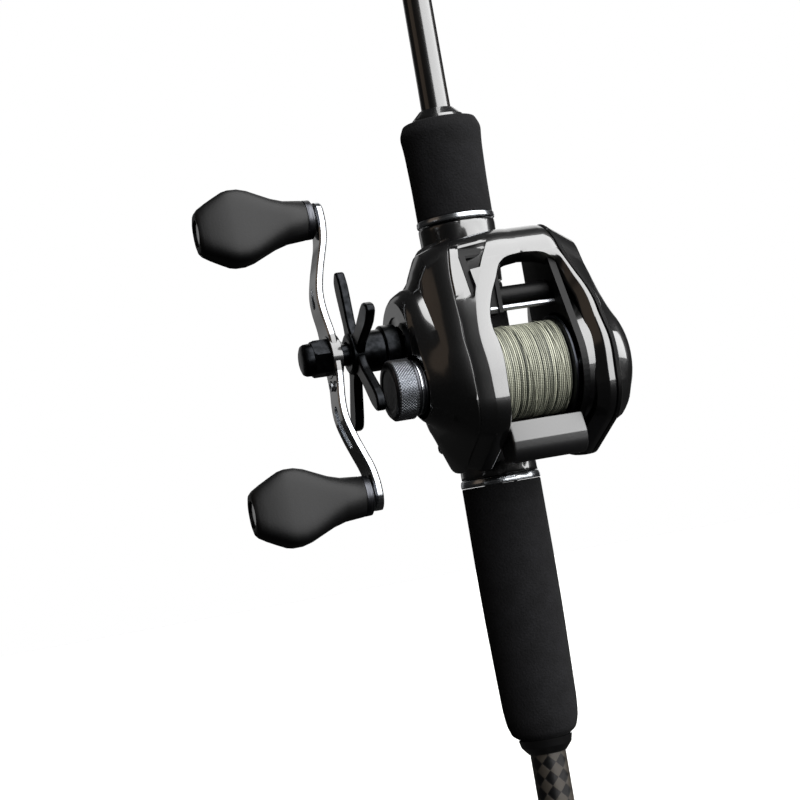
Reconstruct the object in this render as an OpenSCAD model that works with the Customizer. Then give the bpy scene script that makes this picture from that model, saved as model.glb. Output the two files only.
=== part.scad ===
// Casting rod in two sections with a low-profile level-wind reel.
// +Z runs from the butt to the tip, the reel faces -Y and its crank is on -X.

/* [Rod] */
// Length from the butt face to the end of the tip-top
rod_length = 1980; // [1880:10:2080]
// Height of the ferrule joint above the butt face
ferrule_z = 975; // [940:5:985]
// Length of the male spigot inside the ferrule
spigot_length = 60; // [40:5:65]
// Radius of the lower blank
blank_r = 5.6; // [5.5:0.05:5.7]
// Radius of the blank where it leaves the fore grip
fore_blank_r = 5; // [4.8:0.05:5]
// Radius of the male spigot
spigot_r = 3.6; // [3.4:0.05:3.7]
// Radius of the tip blank at its thin end
tip_r = 0.95; // [0.8:0.05:1.1]
// Wall of the hollow blank
blank_wall = 0.8; // [0.6:0.1:1]

/* [Grips] */
// Radius of the butt grip
butt_grip_r = 14; // [13.5:0.1:14.5]
// Top of the butt grip
butt_grip_top = 104; // [90:1:110]
// Lower end of the rear grip
rear_grip_z = 198; // [190:1:205]
// Top of the rear grip, where the reel seat starts
seat_z = 283; // [282:1:284]
// Lower face of the silver ring under the fore grip
fore_z = 371; // [371:1:373]
// Radius of the grips beside the seat
grip_r = 13.2; // [12.8:0.1:13.4]
// Running gap between a turning piece and its bore
running_gap = 0.05; // [0.03:0.01:0.08]

/* [Reel] */
// Distance of the spool axis in front of the rod axis
spool_y = 32; // [32:0.1:32.4]
// Height of the spool axis
spool_z = 317; // [316:0.5:318]
// Side offset of the spool's middle
spool_x = 2; // [1.8:0.1:2.2]
// Radius of the spool flanges
flange_r = 16.5; // [16:0.1:16.6]
// Radius of the wound line
line_r = 15.2; // [12:0.1:15.6]
// Half of the width between the flanges
line_half = 11.3; // [11:0.1:11.4]
// Teeth of the main gear
main_teeth = 62; // [62:1:62]
// Teeth of the pinion
pinion_teeth = 10; // [10:1:10]
// Teeth of the gear that drives the worm
drive_teeth = 30; // [30:1:30]
// Teeth of the gear on the worm
worm_teeth = 26; // [26:1:26]
// Radius of the cast control cap
cap_r = 9.7; // [9.2:0.1:9.8]

/* [Crank] */
// Distance of each knob's axis from the crank's axis
knob_reach = 45.5; // [42:0.5:48]
// Radius of the drag star's points
star_r = 27.2; // [25:0.1:28]
// Angle of the handle arm from the rod's direction
handle_angle = 8; // [0:1:20]
// Length of a knob
knob_length = 38; // [36:1:41]

/* [Hidden] */
$fn = 72;
slack = 0.3;
hair = 0.02;

// Gear geometry: the pairs share one module, so each centre distance follows from the teeth
gear_module = 0.5;
addendum = 0.42;
dedendum = 0.6;
tooth_edges = [-0.24, -0.09, 0.09, 0.24];
gear_distance = gear_module * (main_teeth + pinion_teeth) / 2;
worm_distance = gear_module * (drive_teeth + worm_teeth) / 2;
main_y = spool_y - 11;
main_z = spool_z + sqrt(gear_distance * gear_distance - 121);
worm_y = main_y + 9;
worm_z = main_z + sqrt(worm_distance * worm_distance - 81);
to_pinion = atan2(spool_z - main_z, main_y - spool_y);
to_worm = atan2(worm_z - main_z, main_y - worm_y);

// Places across the reel, from the crank side to the palm side
wall_in = spool_x - line_half - 2.1;
wall_out = wall_in - 2;
palm_in = spool_x + line_half + 2.2;
palm_out = palm_in + 2.2;
case_x = -27.5;
case_wall = 1.5;
boss_x = -34.4;
cap_in_x = -28.4;
cap_out_x = -43.2;
star_x = -50;
hub_r = 8.5;
palm_x = 35.6;
seam_low = -20.6;
seam_high = 24.6;
window_high = 19.6;
arm_x = -57.6;
knob_x = -53.6;
foot_screws = [308, 341];
// (distance in front of the rod, height) of the side plate's screws
screw_places = [[15, spool_z - 21.5], [41.5, spool_z - 11], [22, spool_z + 39]];
// Middle of the line guide at rest, and the bar under the worm that it slides on
guide_rest = -5.6;
bar_y = worm_y + 5.2;
bar_z = worm_z - 4.4;
// Outer face of the handle arm from its hub to its end: [distance from the crank's axis, place]
arm_curve = [[0, arm_x], [8, -57.8], [16, -58.6], [21, -58.4], [27, -57], [32, -55.4], [37, -53.8],
  [42, -53], [knob_reach, -52.9]];
arm_thick = 2.5;
arm_half = 5.2;

// Places along the rod
seat_low = seat_z + 2.5;
check_z = fore_z + 35;
check_top = check_z + 4;
blank_slope = (fore_blank_r - spigot_r) / (ferrule_z - check_top);
ferrule_top = ferrule_z + spigot_length + 5;
sleeve_r = spigot_r + blank_wall + 0.15;
tip_z = rod_length - 10;
top_ring_y = 4.4;
top_ring_z = rod_length - 0.9;
seat_bore = 5.2;
barrel_r = 9;
nut_r = 10.4;
hood_z = fore_z - 21.3;
foot_y = 10.6;
foot_top = 13.2;
butt_guides = [[732, 4.6, 13], [925, 3.9, 11]];
tip_guides = [[1140, 3.3, 9], [1320, 2.8, 7.9], [1484, 2.5, 7], [1632, 2.3, 6.2], [1764, 2.3, 5.7],
  [1880, 2.3, 5.3]];

// Section of a guide's ceramic ring, outward from its bore
ring_section = [[0, -0.5], [0.3, -0.9], [0.8, -0.9], [0.8, 0.9], [0.3, 0.9], [0, 0.5]];

// Radius of the blank's outside at a height above the fore grip
function butt_r(z) = fore_blank_r - (z - check_top) * blank_slope;
function thin_r(z) = tip_r + (sleeve_r - 0.25 - tip_r) * (tip_z - z) / (tip_z - ferrule_top);
// A tooth is a slim trapezoid, the first one centred on angle 0
function gear_points(teeth) = [
  for (i = [0:teeth - 1]) for (k = [0:3])
    let (a = 360 * (i + tooth_edges[k]) / teeth)
    let (r = teeth * gear_module / 2 + (k == 0 || k == 3 ? -dedendum : addendum))
    [r * cos(a), r * sin(a)]
];

// Lays a (y, z) outline across the reel from x0 to x1
module across(x0, x1) {
  translate([x0, 0, 0]) rotate([90, 0, 90]) linear_extrude(height = x1 - x0) children();
}
// Cylinder along X from x0 to x1 about the axis at (-y, z)
module pin_x(y, z, x0, x1, r) {
  translate([x0, -y, z]) rotate([0, 90, 0]) cylinder(h = x1 - x0, r = r);
}
module tube_x(y, z, x0, x1, ro, ri) {
  difference() {
    pin_x(y, z, x0, x1, ro);
    pin_x(y, z, x0 - 1, x1 + 1, ri);
  }
}
module pin_z(z0, z1, r) {
  translate([0, 0, z0]) cylinder(h = z1 - z0, r = r);
}
module tube_z(z0, z1, ro, ri) {
  difference() {
    pin_z(z0, z1, ro);
    pin_z(z0 - 1, z1 + 1, ri);
  }
}
// Solid turned about the rod's axis from (radius, height) points
module turned(points) {
  rotate_extrude() polygon(points);
}
module strut(p, q, r) {
  d = q - p;
  translate(p) rotate([0, acos(d[2] / norm(d)), atan2(d[1], d[0])]) cylinder(h = norm(d), r = r);
}
module gear_x(y, z, x0, x1, teeth, phase) {
  translate([0, -y, z]) across(x0, x1) rotate(phase) polygon(gear_points(teeth));
}
// Side outline of the reel's body, grown outward by g
module reel_outline(g) {
  hull() {
    translate([-spool_y, spool_z]) circle(r = 18.2 + g, $fn = 64);
    translate([-main_y - 0.2, main_z]) circle(r = 18.6 + g, $fn = 64);
    translate([-24, spool_z + 34]) circle(r = 11.5 + g, $fn = 48);
    translate([-21, spool_z - 17]) circle(r = 11 + g, $fn = 48);
  }
}

// ---- Rod ----
module butt_cap() {
  color("#151515") turned([[0, 0], [11.6, 0], [13.2, 1.2], [13.6, 3], [13.6, 14], [0, 14]]);
}
module butt_grip() {
  color("#26282a") turned([[blank_r, 14], [12.6, 14], [butt_grip_r, 17], [butt_grip_r, butt_grip_top - 8],
    [11, butt_grip_top - 1], [10, butt_grip_top], [blank_r, butt_grip_top]]);
}
module butt_grip_check() {
  z = butt_grip_top;
  color("#101010") turned([[blank_r, z], [9.2, z], [8.6, z + 2.4], [blank_r + 0.6, z + 5],
    [blank_r, z + 5]]);
}
module butt_blank() {
  z = ferrule_z;
  i = blank_wall;
  color("#0d0d0e") turned([[blank_r - i, 14], [blank_r, 14], [blank_r, seat_low], [seat_bore, seat_low],
    [seat_bore, fore_z - 1], [fore_blank_r, fore_z - 1], [fore_blank_r, check_top], [butt_r(z), z],
    [spigot_r, z], [spigot_r, z + spigot_length], [spigot_r - i, z + spigot_length], [spigot_r - i, z],
    [fore_blank_r - i, check_z], [fore_blank_r - i, fore_z - 1]]);
}
module carbon_wrap() {
  color("#2a2420") tube_z(butt_grip_top + 5, rear_grip_z - 5, blank_r + 0.35, blank_r);
}
module rear_grip_check() {
  z = rear_grip_z - 5;
  color("#101010") turned([[blank_r, z], [blank_r + 0.8, z], [8.4, z + 2.4], [9, z + 5], [blank_r, z + 5]]);
}
module rear_grip() {
  z = rear_grip_z;
  color("#26282a") turned([[blank_r, z], [8.2, z], [10.6, z + 1.6], [12, z + 5.5], [12.5, z + 11],
    [13.3, z + 46], [grip_r, seat_z], [blank_r, seat_z]]);
}
module rear_grip_ring() {
  color("#c9cbce") turned([[blank_r, seat_z], [grip_r + 0.1, seat_z], [grip_r + 0.2, seat_z + 1.2],
    [grip_r - 0.2, seat_low], [blank_r, seat_low]]);
}
module reel_seat() {
  color("#0c0c0d") difference() {
    union() {
      turned([[seat_bore, seat_low], [12.9, seat_low], [12.7, 292], [12.1, 312], [11.9, 340],
        [11.9, hood_z - slack], [barrel_r, hood_z - slack], [barrel_r, fore_z + 31], [seat_bore, fore_z + 31]]);
      // Fixed hood over the rear end of the reel's foot
      hull() {
        translate([0, -6.5, seat_low]) cylinder(h = 1, r = 6.6, $fn = 32);
        translate([0, -7.2, seat_low + 14]) cylinder(h = 1, r = 7.6, $fn = 32);
      }
      // Trigger for the forefinger
      hull() {
        translate([0, 10, 338]) rotate([0, 90, 0]) cylinder(h = 9, r = 5, center = true, $fn = 32);
        translate([0, 10, 316]) rotate([0, 90, 0]) cylinder(h = 8, r = 4, center = true, $fn = 32);
        translate([0, 21, 327]) rotate([0, 90, 0]) cylinder(h = 7, r = 3, center = true, $fn = 32);
      }
      hull() {
        translate([0, 21, 327]) rotate([0, 90, 0]) cylinder(h = 7, r = 3, center = true, $fn = 32);
        translate([0, 29, 319.5]) rotate([0, 90, 0]) cylinder(h = 6, r = 1.8, center = true, $fn = 32);
      }
    }
    pin_z(seat_low - 1, fore_z + 32, seat_bore);
    // Flat and pocket for the foot
    translate([-20, -30, seat_low + 15]) cube([40, 30 - foot_y, hood_z - seat_low - 15 + 1]);
    translate([-5.2, -12.6, 291]) cube([10.4, 12.6 - foot_y, 20]);
  }
}
module sliding_hood() {
  z = fore_z - slack;
  bore = barrel_r + running_gap;
  color("#0c0c0d") difference() {
    union() {
      turned([[bore, hood_z], [12.1, hood_z], [12.8, z - 9], [13, z], [bore, z]]);
      hull() {
        translate([0, -7, hood_z]) cylinder(h = 1, r = 7.4, $fn = 32);
        translate([0, -6.5, z - 3]) cylinder(h = 1, r = 6.6, $fn = 32);
      }
    }
    pin_z(hood_z - 1, z + 1, bore);
    translate([-5.2, -12.75, hood_z - 1]) cube([10.4, 12.75 - foot_y + slack, 12]);
  }
}
module lock_nut() {
  color("#8d9093") tube_z(fore_z + 2, fore_z + 30, nut_r, barrel_r + running_gap);
}
module fore_grip_ring() {
  color("#c9cbce") turned([[barrel_r + running_gap, fore_z], [13, fore_z], [grip_r, fore_z + 0.6],
    [grip_r - 0.1, fore_z + 2], [barrel_r + running_gap, fore_z + 2]]);
}
module fore_grip() {
  z = fore_z;
  g = fore_blank_r + running_gap;
  b = barrel_r + 0.5;
  color("#26282a") turned([[nut_r, z + 2], [12.7, z + 2], [12.8, z + 14], [grip_r, z + 26],
    [grip_r + 0.6, z + 31.5], [12.2, check_z], [g, check_z], [g, z + 32], [b, z + 32], [b, z + 30],
    [nut_r, z + 30]]);
}
module fore_grip_check() {
  z = check_z;
  g = fore_blank_r + running_gap;
  color("#101010") turned([[g, z], [9.4, z], [8.6, z + 1.4], [fore_blank_r + 0.9, check_top], [g, check_top]]);
}

// ---- Guides: [height, ring radius, distance of the ring's middle from the rod axis] ----
module guide_foot(z, br, up) {
  translate([-1, -br - 0.75, up ? z + 4 : z - 15]) cube([2, 0.7, 11]);
}
// br is the blank's radius below the guide, where it is thickest
module guide_frame(z, r, h, br) {
  difference() {
    union() {
      translate([0, -h, z - 0.6]) cylinder(h = 1.2, r = r + 1.5);
      guide_foot(z, br, true);
      guide_foot(z, br, false);
      for (side = [-1, 1]) {
        strut([side * 0.5, -br - 0.6, z - 5], [side * (r + 1.15) * 0.8, -h + (r + 1.15) * 0.6, z], 0.42);
      }
      strut([0, -br - 0.6, z + 5], [0, -h + r + 1.2, z], 0.42);
    }
    translate([0, -h, z - 3]) cylinder(h = 6, r = r + 0.8 + hair);
  }
}
module guide_ring(z, r, h) {
  translate([0, -h, z]) rotate_extrude() translate([r, 0]) polygon(ring_section);
}
// Thread wrap under clear resin, from z0 to z1 on a blank of radius r0 at z0 and r1 at z1
module wrap(z0, z1, r0, r1, t) {
  turned([[r0 + hair, z0], [r0 + t * 0.3, z0], [r0 + t, z0 + 2], [r1 + t, z1 - 2], [r1 + t * 0.3, z1],
    [r1 + hair, z1]]);
}
module butt_guide_frames() {
  color("#3a3c40") for (g = butt_guides) guide_frame(g[0], g[1], g[2], butt_r(g[0] - 15));
}
module butt_guide_rings() {
  color("#1b1b1e") for (g = butt_guides) guide_ring(g[0], g[1], g[2]);
}
module butt_wraps() {
  color("#141416") difference() {
    for (g = butt_guides) {
      z = g[0];
      wrap(z + 6, z + 17, butt_r(z + 6), butt_r(z + 17), 1);
      wrap(z - 17, z - 6, butt_r(z - 17), butt_r(z - 6), 1);
    }
    for (g = butt_guides) {
      guide_foot(g[0], butt_r(g[0] - 15), true);
      guide_foot(g[0], butt_r(g[0] - 15), false);
    }
  }
}
module tip_blank() {
  g = running_gap;
  z = ferrule_z;
  t = ferrule_top;
  color("#0d0d0e") difference() {
    turned([[0, z], [sleeve_r, z], [sleeve_r, t - 8], [sleeve_r - 0.25, t], [tip_r, tip_z], [0, tip_z]]);
    pin_z(z - 1, t - 3, spigot_r + g);
    translate([0, 0, t - 4]) cylinder(h = 780, r1 = spigot_r - 0.1, r2 = 0.6);
  }
}
module tip_guide_frames() {
  color("#3a3c40") for (g = tip_guides) guide_frame(g[0], g[1], g[2], thin_r(g[0] - 15));
}
module tip_guide_rings() {
  color("#1b1b1e") for (g = tip_guides) guide_ring(g[0], g[1], g[2]);
}
module tip_wraps() {
  color("#141416") {
    wrap(ferrule_z + 1, ferrule_z + 26, sleeve_r, sleeve_r, 0.35);
    difference() {
      for (g = tip_guides) {
        z = g[0];
        wrap(z + 6, z + 17, thin_r(z + 6), thin_r(z + 17), 0.95);
        wrap(z - 17, z - 6, thin_r(z - 17), thin_r(z - 6), 0.95);
      }
      for (g = tip_guides) {
        guide_foot(g[0], thin_r(g[0] - 15), true);
        guide_foot(g[0], thin_r(g[0] - 15), false);
      }
    }
  }
}
module tip_top() {
  y = top_ring_y;
  z = top_ring_z;
  color("#3a3c40") {
    difference() {
      pin_z(tip_z - 12, tip_z + 1.5, 1.75);
      translate([0, 0, tip_z - 13]) cylinder(h = 13 + hair, r1 = thin_r(tip_z - 13) + hair, r2 = tip_r + hair);
    }
    translate([0, -y, z]) difference() {
      cylinder(h = 1.2, r = 3.9, center = true);
      cylinder(h = 3, r = 3.1 + hair, center = true);
    }
    strut([0, -1.5, tip_z], [0, -y + 3.5, z], 0.35);
    strut([0, -1.5, tip_z - 9], [2.7, -y + 2.3, z], 0.3);
    strut([0, -1.5, tip_z - 9], [-2.7, -y + 2.3, z], 0.3);
  }
}
module tip_top_ring() {
  color("#1b1b1e") guide_ring(top_ring_z, 2.3, top_ring_y);
}

// ---- Reel case ----
module reel_foot() {
  color("#1a1a1c") difference() {
    union() {
      translate([-7.5, -foot_top, 302]) cube([15, foot_top - foot_y, 46]);
      translate([-5, -12.5, 292]) cube([10, 12.5 - foot_y, 12]);
      translate([-5, -12.5, 346]) cube([10, 12.5 - foot_y, 13]);
    }
    for (z = foot_screws) translate([0, -foot_top - 1, z]) rotate([-90, 0, 0]) cylinder(h = 5, r = 1.05);
  }
}
module reel_frame() {
  color("#161617") difference() {
    union() {
      across(wall_out, wall_in) difference() {
        reel_outline(-0.3);
        translate([-60, spool_z + 45]) square([60, 10]);
      }
      across(palm_in, palm_out) reel_outline(-0.3);
      // Deck over the foot, front bar and rear bar
      across(wall_out + 1, palm_out - 1) intersection() {
        reel_outline(-0.4);
        union() {
          translate([-15.1, spool_z - 25]) square([15.1 - foot_top, 39]);
          translate([-34, spool_z + 38]) square([20, 8]);
          translate([-27, spool_z - 27]) square([13.8, 4]);
        }
      }
      // Outer ring that holds the spool shaft's pinion side
      pin_x(spool_y, spool_z, wall_out - 0.8, wall_out + 1, 4.6);
    }
    pin_x(spool_y, spool_z, wall_out - 2, wall_in + 1, 1.9);
    pin_x(spool_y, spool_z, palm_in - 1, palm_out + 1, flange_r + 0.6);
    pin_x(main_y, main_z, wall_out - 1, wall_in + 1, 2.5 + running_gap);
    pin_x(worm_y, worm_z, wall_out - 1, palm_out + 1, 2 + running_gap);
    pin_x(bar_y, bar_z, wall_out - 1, palm_out + 1, 1);
    // The reel seat and the grips stay clear of the case
    translate([-20, -foot_top, spool_z - 40]) cube([40, 30, 100]);
    translate([0, -7, spool_z - 40]) cylinder(h = 24.5, r = 8.3);
    translate([0, -7, hood_z - 1]) cylinder(h = 30, r = 8.3);
    for (z = foot_screws) translate([0, -17, z]) rotate([-90, 0, 0]) cylinder(h = 5, r = 1.05);
    thumb_space(slack + 0.1);
  }
}
// Room that the thumb bar slides in, grown by g
module thumb_space(g) {
  w = palm_in - wall_in - 1.8;
  translate([wall_in + 0.9 - g, -50, spool_z - 29.3 - g]) cube([w + 2 * g, 28, 6.2 + 2 * g]);
}
module top_cover() {
  color("#0b0b0c") difference() {
    across(seam_low, seam_high) difference() {
      reel_outline(1.6);
      reel_outline(-0.25);
      translate([-24, spool_z - 40]) square([40, 100]);
    }
    // The window over the spool and the thumb bar
    translate([wall_in, -60, spool_z - 40]) cube([window_high - wall_in, 60, 75]);
  }
}
module gear_side_plate() {
  color("#0b0b0c") difference() {
    union() {
      across(case_x, seam_low - 0.1) reel_outline(1);
      across(seam_low - 0.2, wall_out) reel_outline(-0.3);
      // Stepped cone round the main shaft, hollowed beside the cast control cap
      difference() {
        translate([boss_x, -main_y, main_z]) rotate([0, 90, 0])
          cylinder(h = case_x - boss_x + 0.1, r1 = 14.6, r2 = 18);
        pin_x(spool_y, spool_z, boss_x - 1, case_x + 0.1, cap_r + 0.6);
      }
      pin_x(spool_y, spool_z, -34, case_x + 1, 7.5);
    }
    across(case_x + case_wall, wall_out + 1) reel_outline(-0.3 - case_wall);
    pin_x(main_y, main_z, boss_x - 1, wall_out, 6.5);
    pin_x(spool_y, spool_z, -35, wall_out, 1.6);
    pin_x(spool_y, spool_z, -35, -29.5, 4.5);
    pin_x(spool_y, spool_z, -28.4, wall_out, 3.3);
    for (p = screw_places) pin_x(p[0], p[1], case_x - 1, case_x + 2, 1.05);
  }
  // Posts that the side plate's screws reach
  color("#0b0b0c") for (p = screw_places) tube_x(p[0], p[1], case_x + case_wall, wall_out, 2, 1.05);
}
module screw_x(p) {
  difference() {
    union() {
      pin_x(p[0], p[1], case_x - 0.9, case_x, 1.9);
      pin_x(p[0], p[1], case_x - 0.1, case_x + 9, 1);
    }
    translate([case_x - 1, -p[0], p[1]]) across(0, 0.7) circle(r = 0.9, $fn = 6);
  }
}
module case_screws() {
  color("#9a9ca0") {
    for (p = screw_places) screw_x(p);
    for (z = foot_screws) translate([0, -foot_top - 1.9, z]) rotate([-90, 0, 0]) {
      cylinder(h = 4.2, r = 1);
      translate([0, 0, -0.5]) cylinder(h = 0.5, r = 1.8);
    }
  }
}
module palm_side_plate() {
  color("#0b0b0c") difference() {
    union() {
      across(palm_out + slack, seam_high + slack + 0.1) reel_outline(-0.5);
      hull() {
        across(seam_high + slack, seam_high + 1.5) reel_outline(1.4);
        pin_x(spool_y, spool_z - 2, seam_high + 1, palm_x - 3, 17.5, $fn = 64);
        pin_x(spool_y, spool_z - 2, seam_high + 1, palm_x, 13, $fn = 64);
      }
    }
    pin_x(spool_y, spool_z, palm_out - 1, palm_out + 6, flange_r + 0.6);
    pin_x(spool_y, spool_z, palm_out - 1, palm_x + 1, 2.6);
    pin_x(spool_y, spool_z, palm_x - 2, palm_x + 1, 8.4);
    // Relief beside the reel seat
    translate([0, -8, spool_z - 60]) cube([palm_out + 3, 20, 120]);
  }
}
module brake_dial() {
  color("#1d1d1f") {
    pin_x(spool_y, spool_z, palm_x - 1.9, palm_x + 1, 8.2);
    pin_x(spool_y, spool_z, palm_out + 9, palm_x - 1.8, 2.55);
  }
}
module brake_magnets() {
  color("#b5b7ba") {
    tube_x(spool_y, spool_z, palm_out + 1.2, palm_out + 2.2, 12, 5.2);
    for (i = [0:7]) rotate_about_spool(i * 45) pin_x(spool_y - 8.6, spool_z, palm_out + 2, palm_out + 4.2, 2.4);
  }
}
module rotate_about_spool(a) {
  translate([0, -spool_y, spool_z]) rotate([a, 0, 0]) translate([0, spool_y, -spool_z]) children();
}

// ---- Spool ----
module spool() {
  l = line_half;
  color("#1c1c1e") translate([spool_x, -spool_y, spool_z]) rotate([0, 90, 0]) rotate_extrude()
    polygon([[1.5, -l - 1], [flange_r, -l - 1], [flange_r, -l - 0.4], [flange_r - 1.2, -l], [hub_r, -l],
      [hub_r, l], [flange_r - 1.2, l], [flange_r, l + 0.4], [flange_r, l + 1], [1.5, l + 1]]);
}
module spool_shaft() {
  color("#c4c6c8") {
    pin_x(spool_y, spool_z, spool_x - line_half - 4, palm_out + 0.7, 1.5);
    pin_x(spool_y, spool_z, -36.5, spool_x - line_half - 3.9, 1.25);
  }
}
module line_pack() {
  l = line_half;
  color("#5a6348") translate([spool_x, -spool_y, spool_z]) rotate([0, 90, 0]) rotate_extrude()
    polygon([[hub_r, -l], [line_r - 0.6, -l], [line_r, -l + 1.6], [line_r, l - 1.6], [line_r - 0.6, l],
      [hub_r, l]]);
}
module spool_bearings() {
  color("#b5b7ba") tube_x(spool_y, spool_z, -32.5, -29.8, 4.5, 1.25 + running_gap);
}

// ---- Gears ----
module main_gear() {
  color("#b08d4f") difference() {
    gear_x(main_y, main_z, -22.5, -19.5, main_teeth, to_pinion);
    pin_x(main_y, main_z, -24, -18, 3.5);
    pin_x(main_y, main_z, -24, -21, 10.5);
  }
}
module pinion_gear() {
  color("#b08d4f") difference() {
    union() {
      gear_x(spool_y, spool_z, -24.4, -18.3, pinion_teeth, to_pinion + 180 + 180 / pinion_teeth);
      pin_x(spool_y, spool_z, -18.4, -15.6, 1.85);
      pin_x(spool_y, spool_z, -16.2, -14.6, 3);
    }
    pin_x(spool_y, spool_z, -26, -14, 1.25 + running_gap);
    // Slot that drives the spool shaft's cross pin
    translate([-15.3, -spool_y - 4, spool_z - 0.6]) cube([2, 8, 1.2]);
  }
}
module main_shaft() {
  color("#b5b7ba") {
    pin_x(main_y, main_z, -19, wall_in - 0.6, 2.5);
    gear_x(main_y, main_z, -17.6, -16, drive_teeth, to_worm);
    pin_x(main_y, main_z, arm_x + 3.6, -18.5, 3.5);
    pin_x(main_y, main_z, arm_x - 3, arm_x + 3.7, 2.6);
  }
}
module drag_washers() {
  color("#4a4c50") {
    tube_x(main_y, main_z, -22.4, -21, 10.3, 3.5);
    tube_x(main_y, main_z, -23.6, -22.6, 10, 3.5);
    tube_x(main_y, main_z, -24.8, -23.8, 5.8, 3.5);
  }
}
module one_way_bearing() {
  color("#8d9093") tube_x(main_y, main_z, -30.6, -25.2, 6.5, 3.5 + running_gap);
}
module drag_star() {
  color("#17171a") difference() {
    union() {
      pin_x(main_y, main_z, star_x + 10, boss_x - 0.6, 7.6);
      pin_x(main_y, main_z, star_x - 1.2, star_x + 10.1, 6.6);
      across_star() for (i = [0:4]) rotate(i * 72 - 8) star_arm();
    }
    pin_x(main_y, main_z, star_x - 2, boss_x, 3.5 + running_gap);
  }
}
module across_star() {
  translate([0, -main_y, main_z]) across(star_x, star_x + 3) children();
}
// One arm of the star, pointing along the outline's second axis
module star_arm() {
  polygon([[-4.6, 2], [-2.4, 9], [-3, star_r - 5], [-1.6, star_r - 0.6], [0.4, star_r], [3.2, star_r - 2.4],
    [3.6, star_r - 6], [2.6, 9], [4.6, 2]]);
}

// ---- Crank ----
// Turns a piece drawn with the handle along +Z into its place
module crank_place() {
  translate([0, -main_y, main_z]) rotate([-handle_angle, 0, 0]) children();
}
module handle_arm() {
  k = knob_reach;
  end_x = arm_curve[len(arm_curve) - 1][1];
  face = [for (c = arm_curve) [c[1], c[0]]];
  back = [for (i = [len(arm_curve) - 1:-1:0]) [arm_curve[i][1] + arm_thick, arm_curve[i][0]]];
  color("#1a1a1c") crank_place() difference() {
    union() {
      for (a = [0, 180]) rotate([a, 0, 0]) {
        rotate([90, 0, 0]) linear_extrude(height = 2 * arm_half, center = true) polygon(concat(face, back));
        translate([end_x, 0, k]) rotate([0, 90, 0]) cylinder(h = arm_thick, r = arm_half);
      }
      translate([arm_x - 0.3, 0, 0]) rotate([0, 90, 0]) cylinder(h = 3.6, r = 7);
    }
    translate([arm_x - 2, 0, 0]) rotate([0, 90, 0]) cylinder(h = 8, r = 2.6);
    for (s = [-1, 1]) translate([arm_x - 2, 0, s * k]) rotate([0, 90, 0]) cylinder(h = 14, r = 2);
    // Slot through the lower half
    translate([arm_x - 2, -1.6, -30]) cube([9, 3.2, 14]);
  }
}
module handle_nut() {
  color("#1d1d20") crank_place() difference() {
    union() {
      translate([arm_x - 5.6, 0, 0]) rotate([0, 90, 0]) cylinder(h = 5.3, r = 6.2, $fn = 6);
      translate([arm_x - 9, 0, 0]) rotate([0, 90, 0]) cylinder(h = 3.5, r = 5.2);
    }
    translate([arm_x - 3.2, 0, 0]) rotate([0, 90, 0]) cylinder(h = 4, r = 2.6);
  }
}
module nut_retainer() {
  retainer_x = arm_x - 1.25;
  color("#9a9ca0") crank_place() difference() {
    translate([retainer_x, 0, -9.4]) rotate([0, 90, 0]) cylinder(h = 0.6, r = 1.7);
    translate([retainer_x - 0.4, 0, -9.4]) rotate([0, 90, 0]) cylinder(h = 0.7, r = 0.8, $fn = 6);
  }
}
module knob_posts() {
  color("#c4c6c8") crank_place() for (s = [-1, 1]) translate([0, 0, s * knob_reach]) {
    translate([knob_x - knob_length + 3.2, 0, 0]) rotate([0, 90, 0]) cylinder(h = knob_length + 0.6, r = 2);
    translate([knob_x + 0.05, 0, 0]) rotate([0, 90, 0]) cylinder(h = 0.5, r = 3.6);
  }
}
// Paddle knob, drawn about its own axis with its narrow end by the arm
module knob_shape(x0) {
  l = knob_length;
  difference() {
    hull() {
      translate([x0 - 5, 0, 0]) rotate([0, 90, 0]) cylinder(h = 5, r = 6.6, $fn = 32);
      translate([x0 - l * 0.45, 0, 0]) cube([2, 13, 16.5], center = true);
      translate([x0 - l + 13, 0, 0]) cube([4, 13.6, 24], center = true);
      translate([x0 - l + 1, 0, 0]) cube([2, 10, 12], center = true);
    }
    translate([x0 - l, 0, 0]) rotate([0, 90, 0]) cylinder(h = l + 1, r = 2 + running_gap);
    translate([x0 - l, 0, 0]) rotate([0, 90, 0]) cylinder(h = 3.2, r = 4.2);
  }
}
module knob_cap_shape(x0) {
  translate([x0 - knob_length + 0.6, 0, 0]) rotate([0, 90, 0]) cylinder(h = 1.6, r = 4.2);
}
module upper_knob() {
  color("#232427") crank_place() translate([0, 0, knob_reach]) knob_shape(knob_x);
}
module upper_knob_cap() {
  color("#0e0e0f") crank_place() translate([0, 0, knob_reach]) knob_cap_shape(knob_x);
}
module lower_knob() {
  color("#232427") crank_place() translate([0, 0, -knob_reach]) knob_shape(knob_x);
}
module lower_knob_cap() {
  color("#0e0e0f") crank_place() translate([0, 0, -knob_reach]) knob_cap_shape(knob_x);
}
module cast_cap() {
  color("#4b4d50") difference() {
    union() {
      pin_x(spool_y, spool_z, cap_out_x + 0.8, cap_in_x - 7.6, cap_r);
      pin_x(spool_y, spool_z, cap_in_x - 7.7, cap_in_x, 8.8);
      pin_x(spool_y, spool_z, cap_out_x, cap_out_x + 0.9, cap_r - 0.9);
    }
    pin_x(spool_y, spool_z, cap_out_x + 2.5, cap_in_x + 1, 7.5 + running_gap);
  }
}

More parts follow.
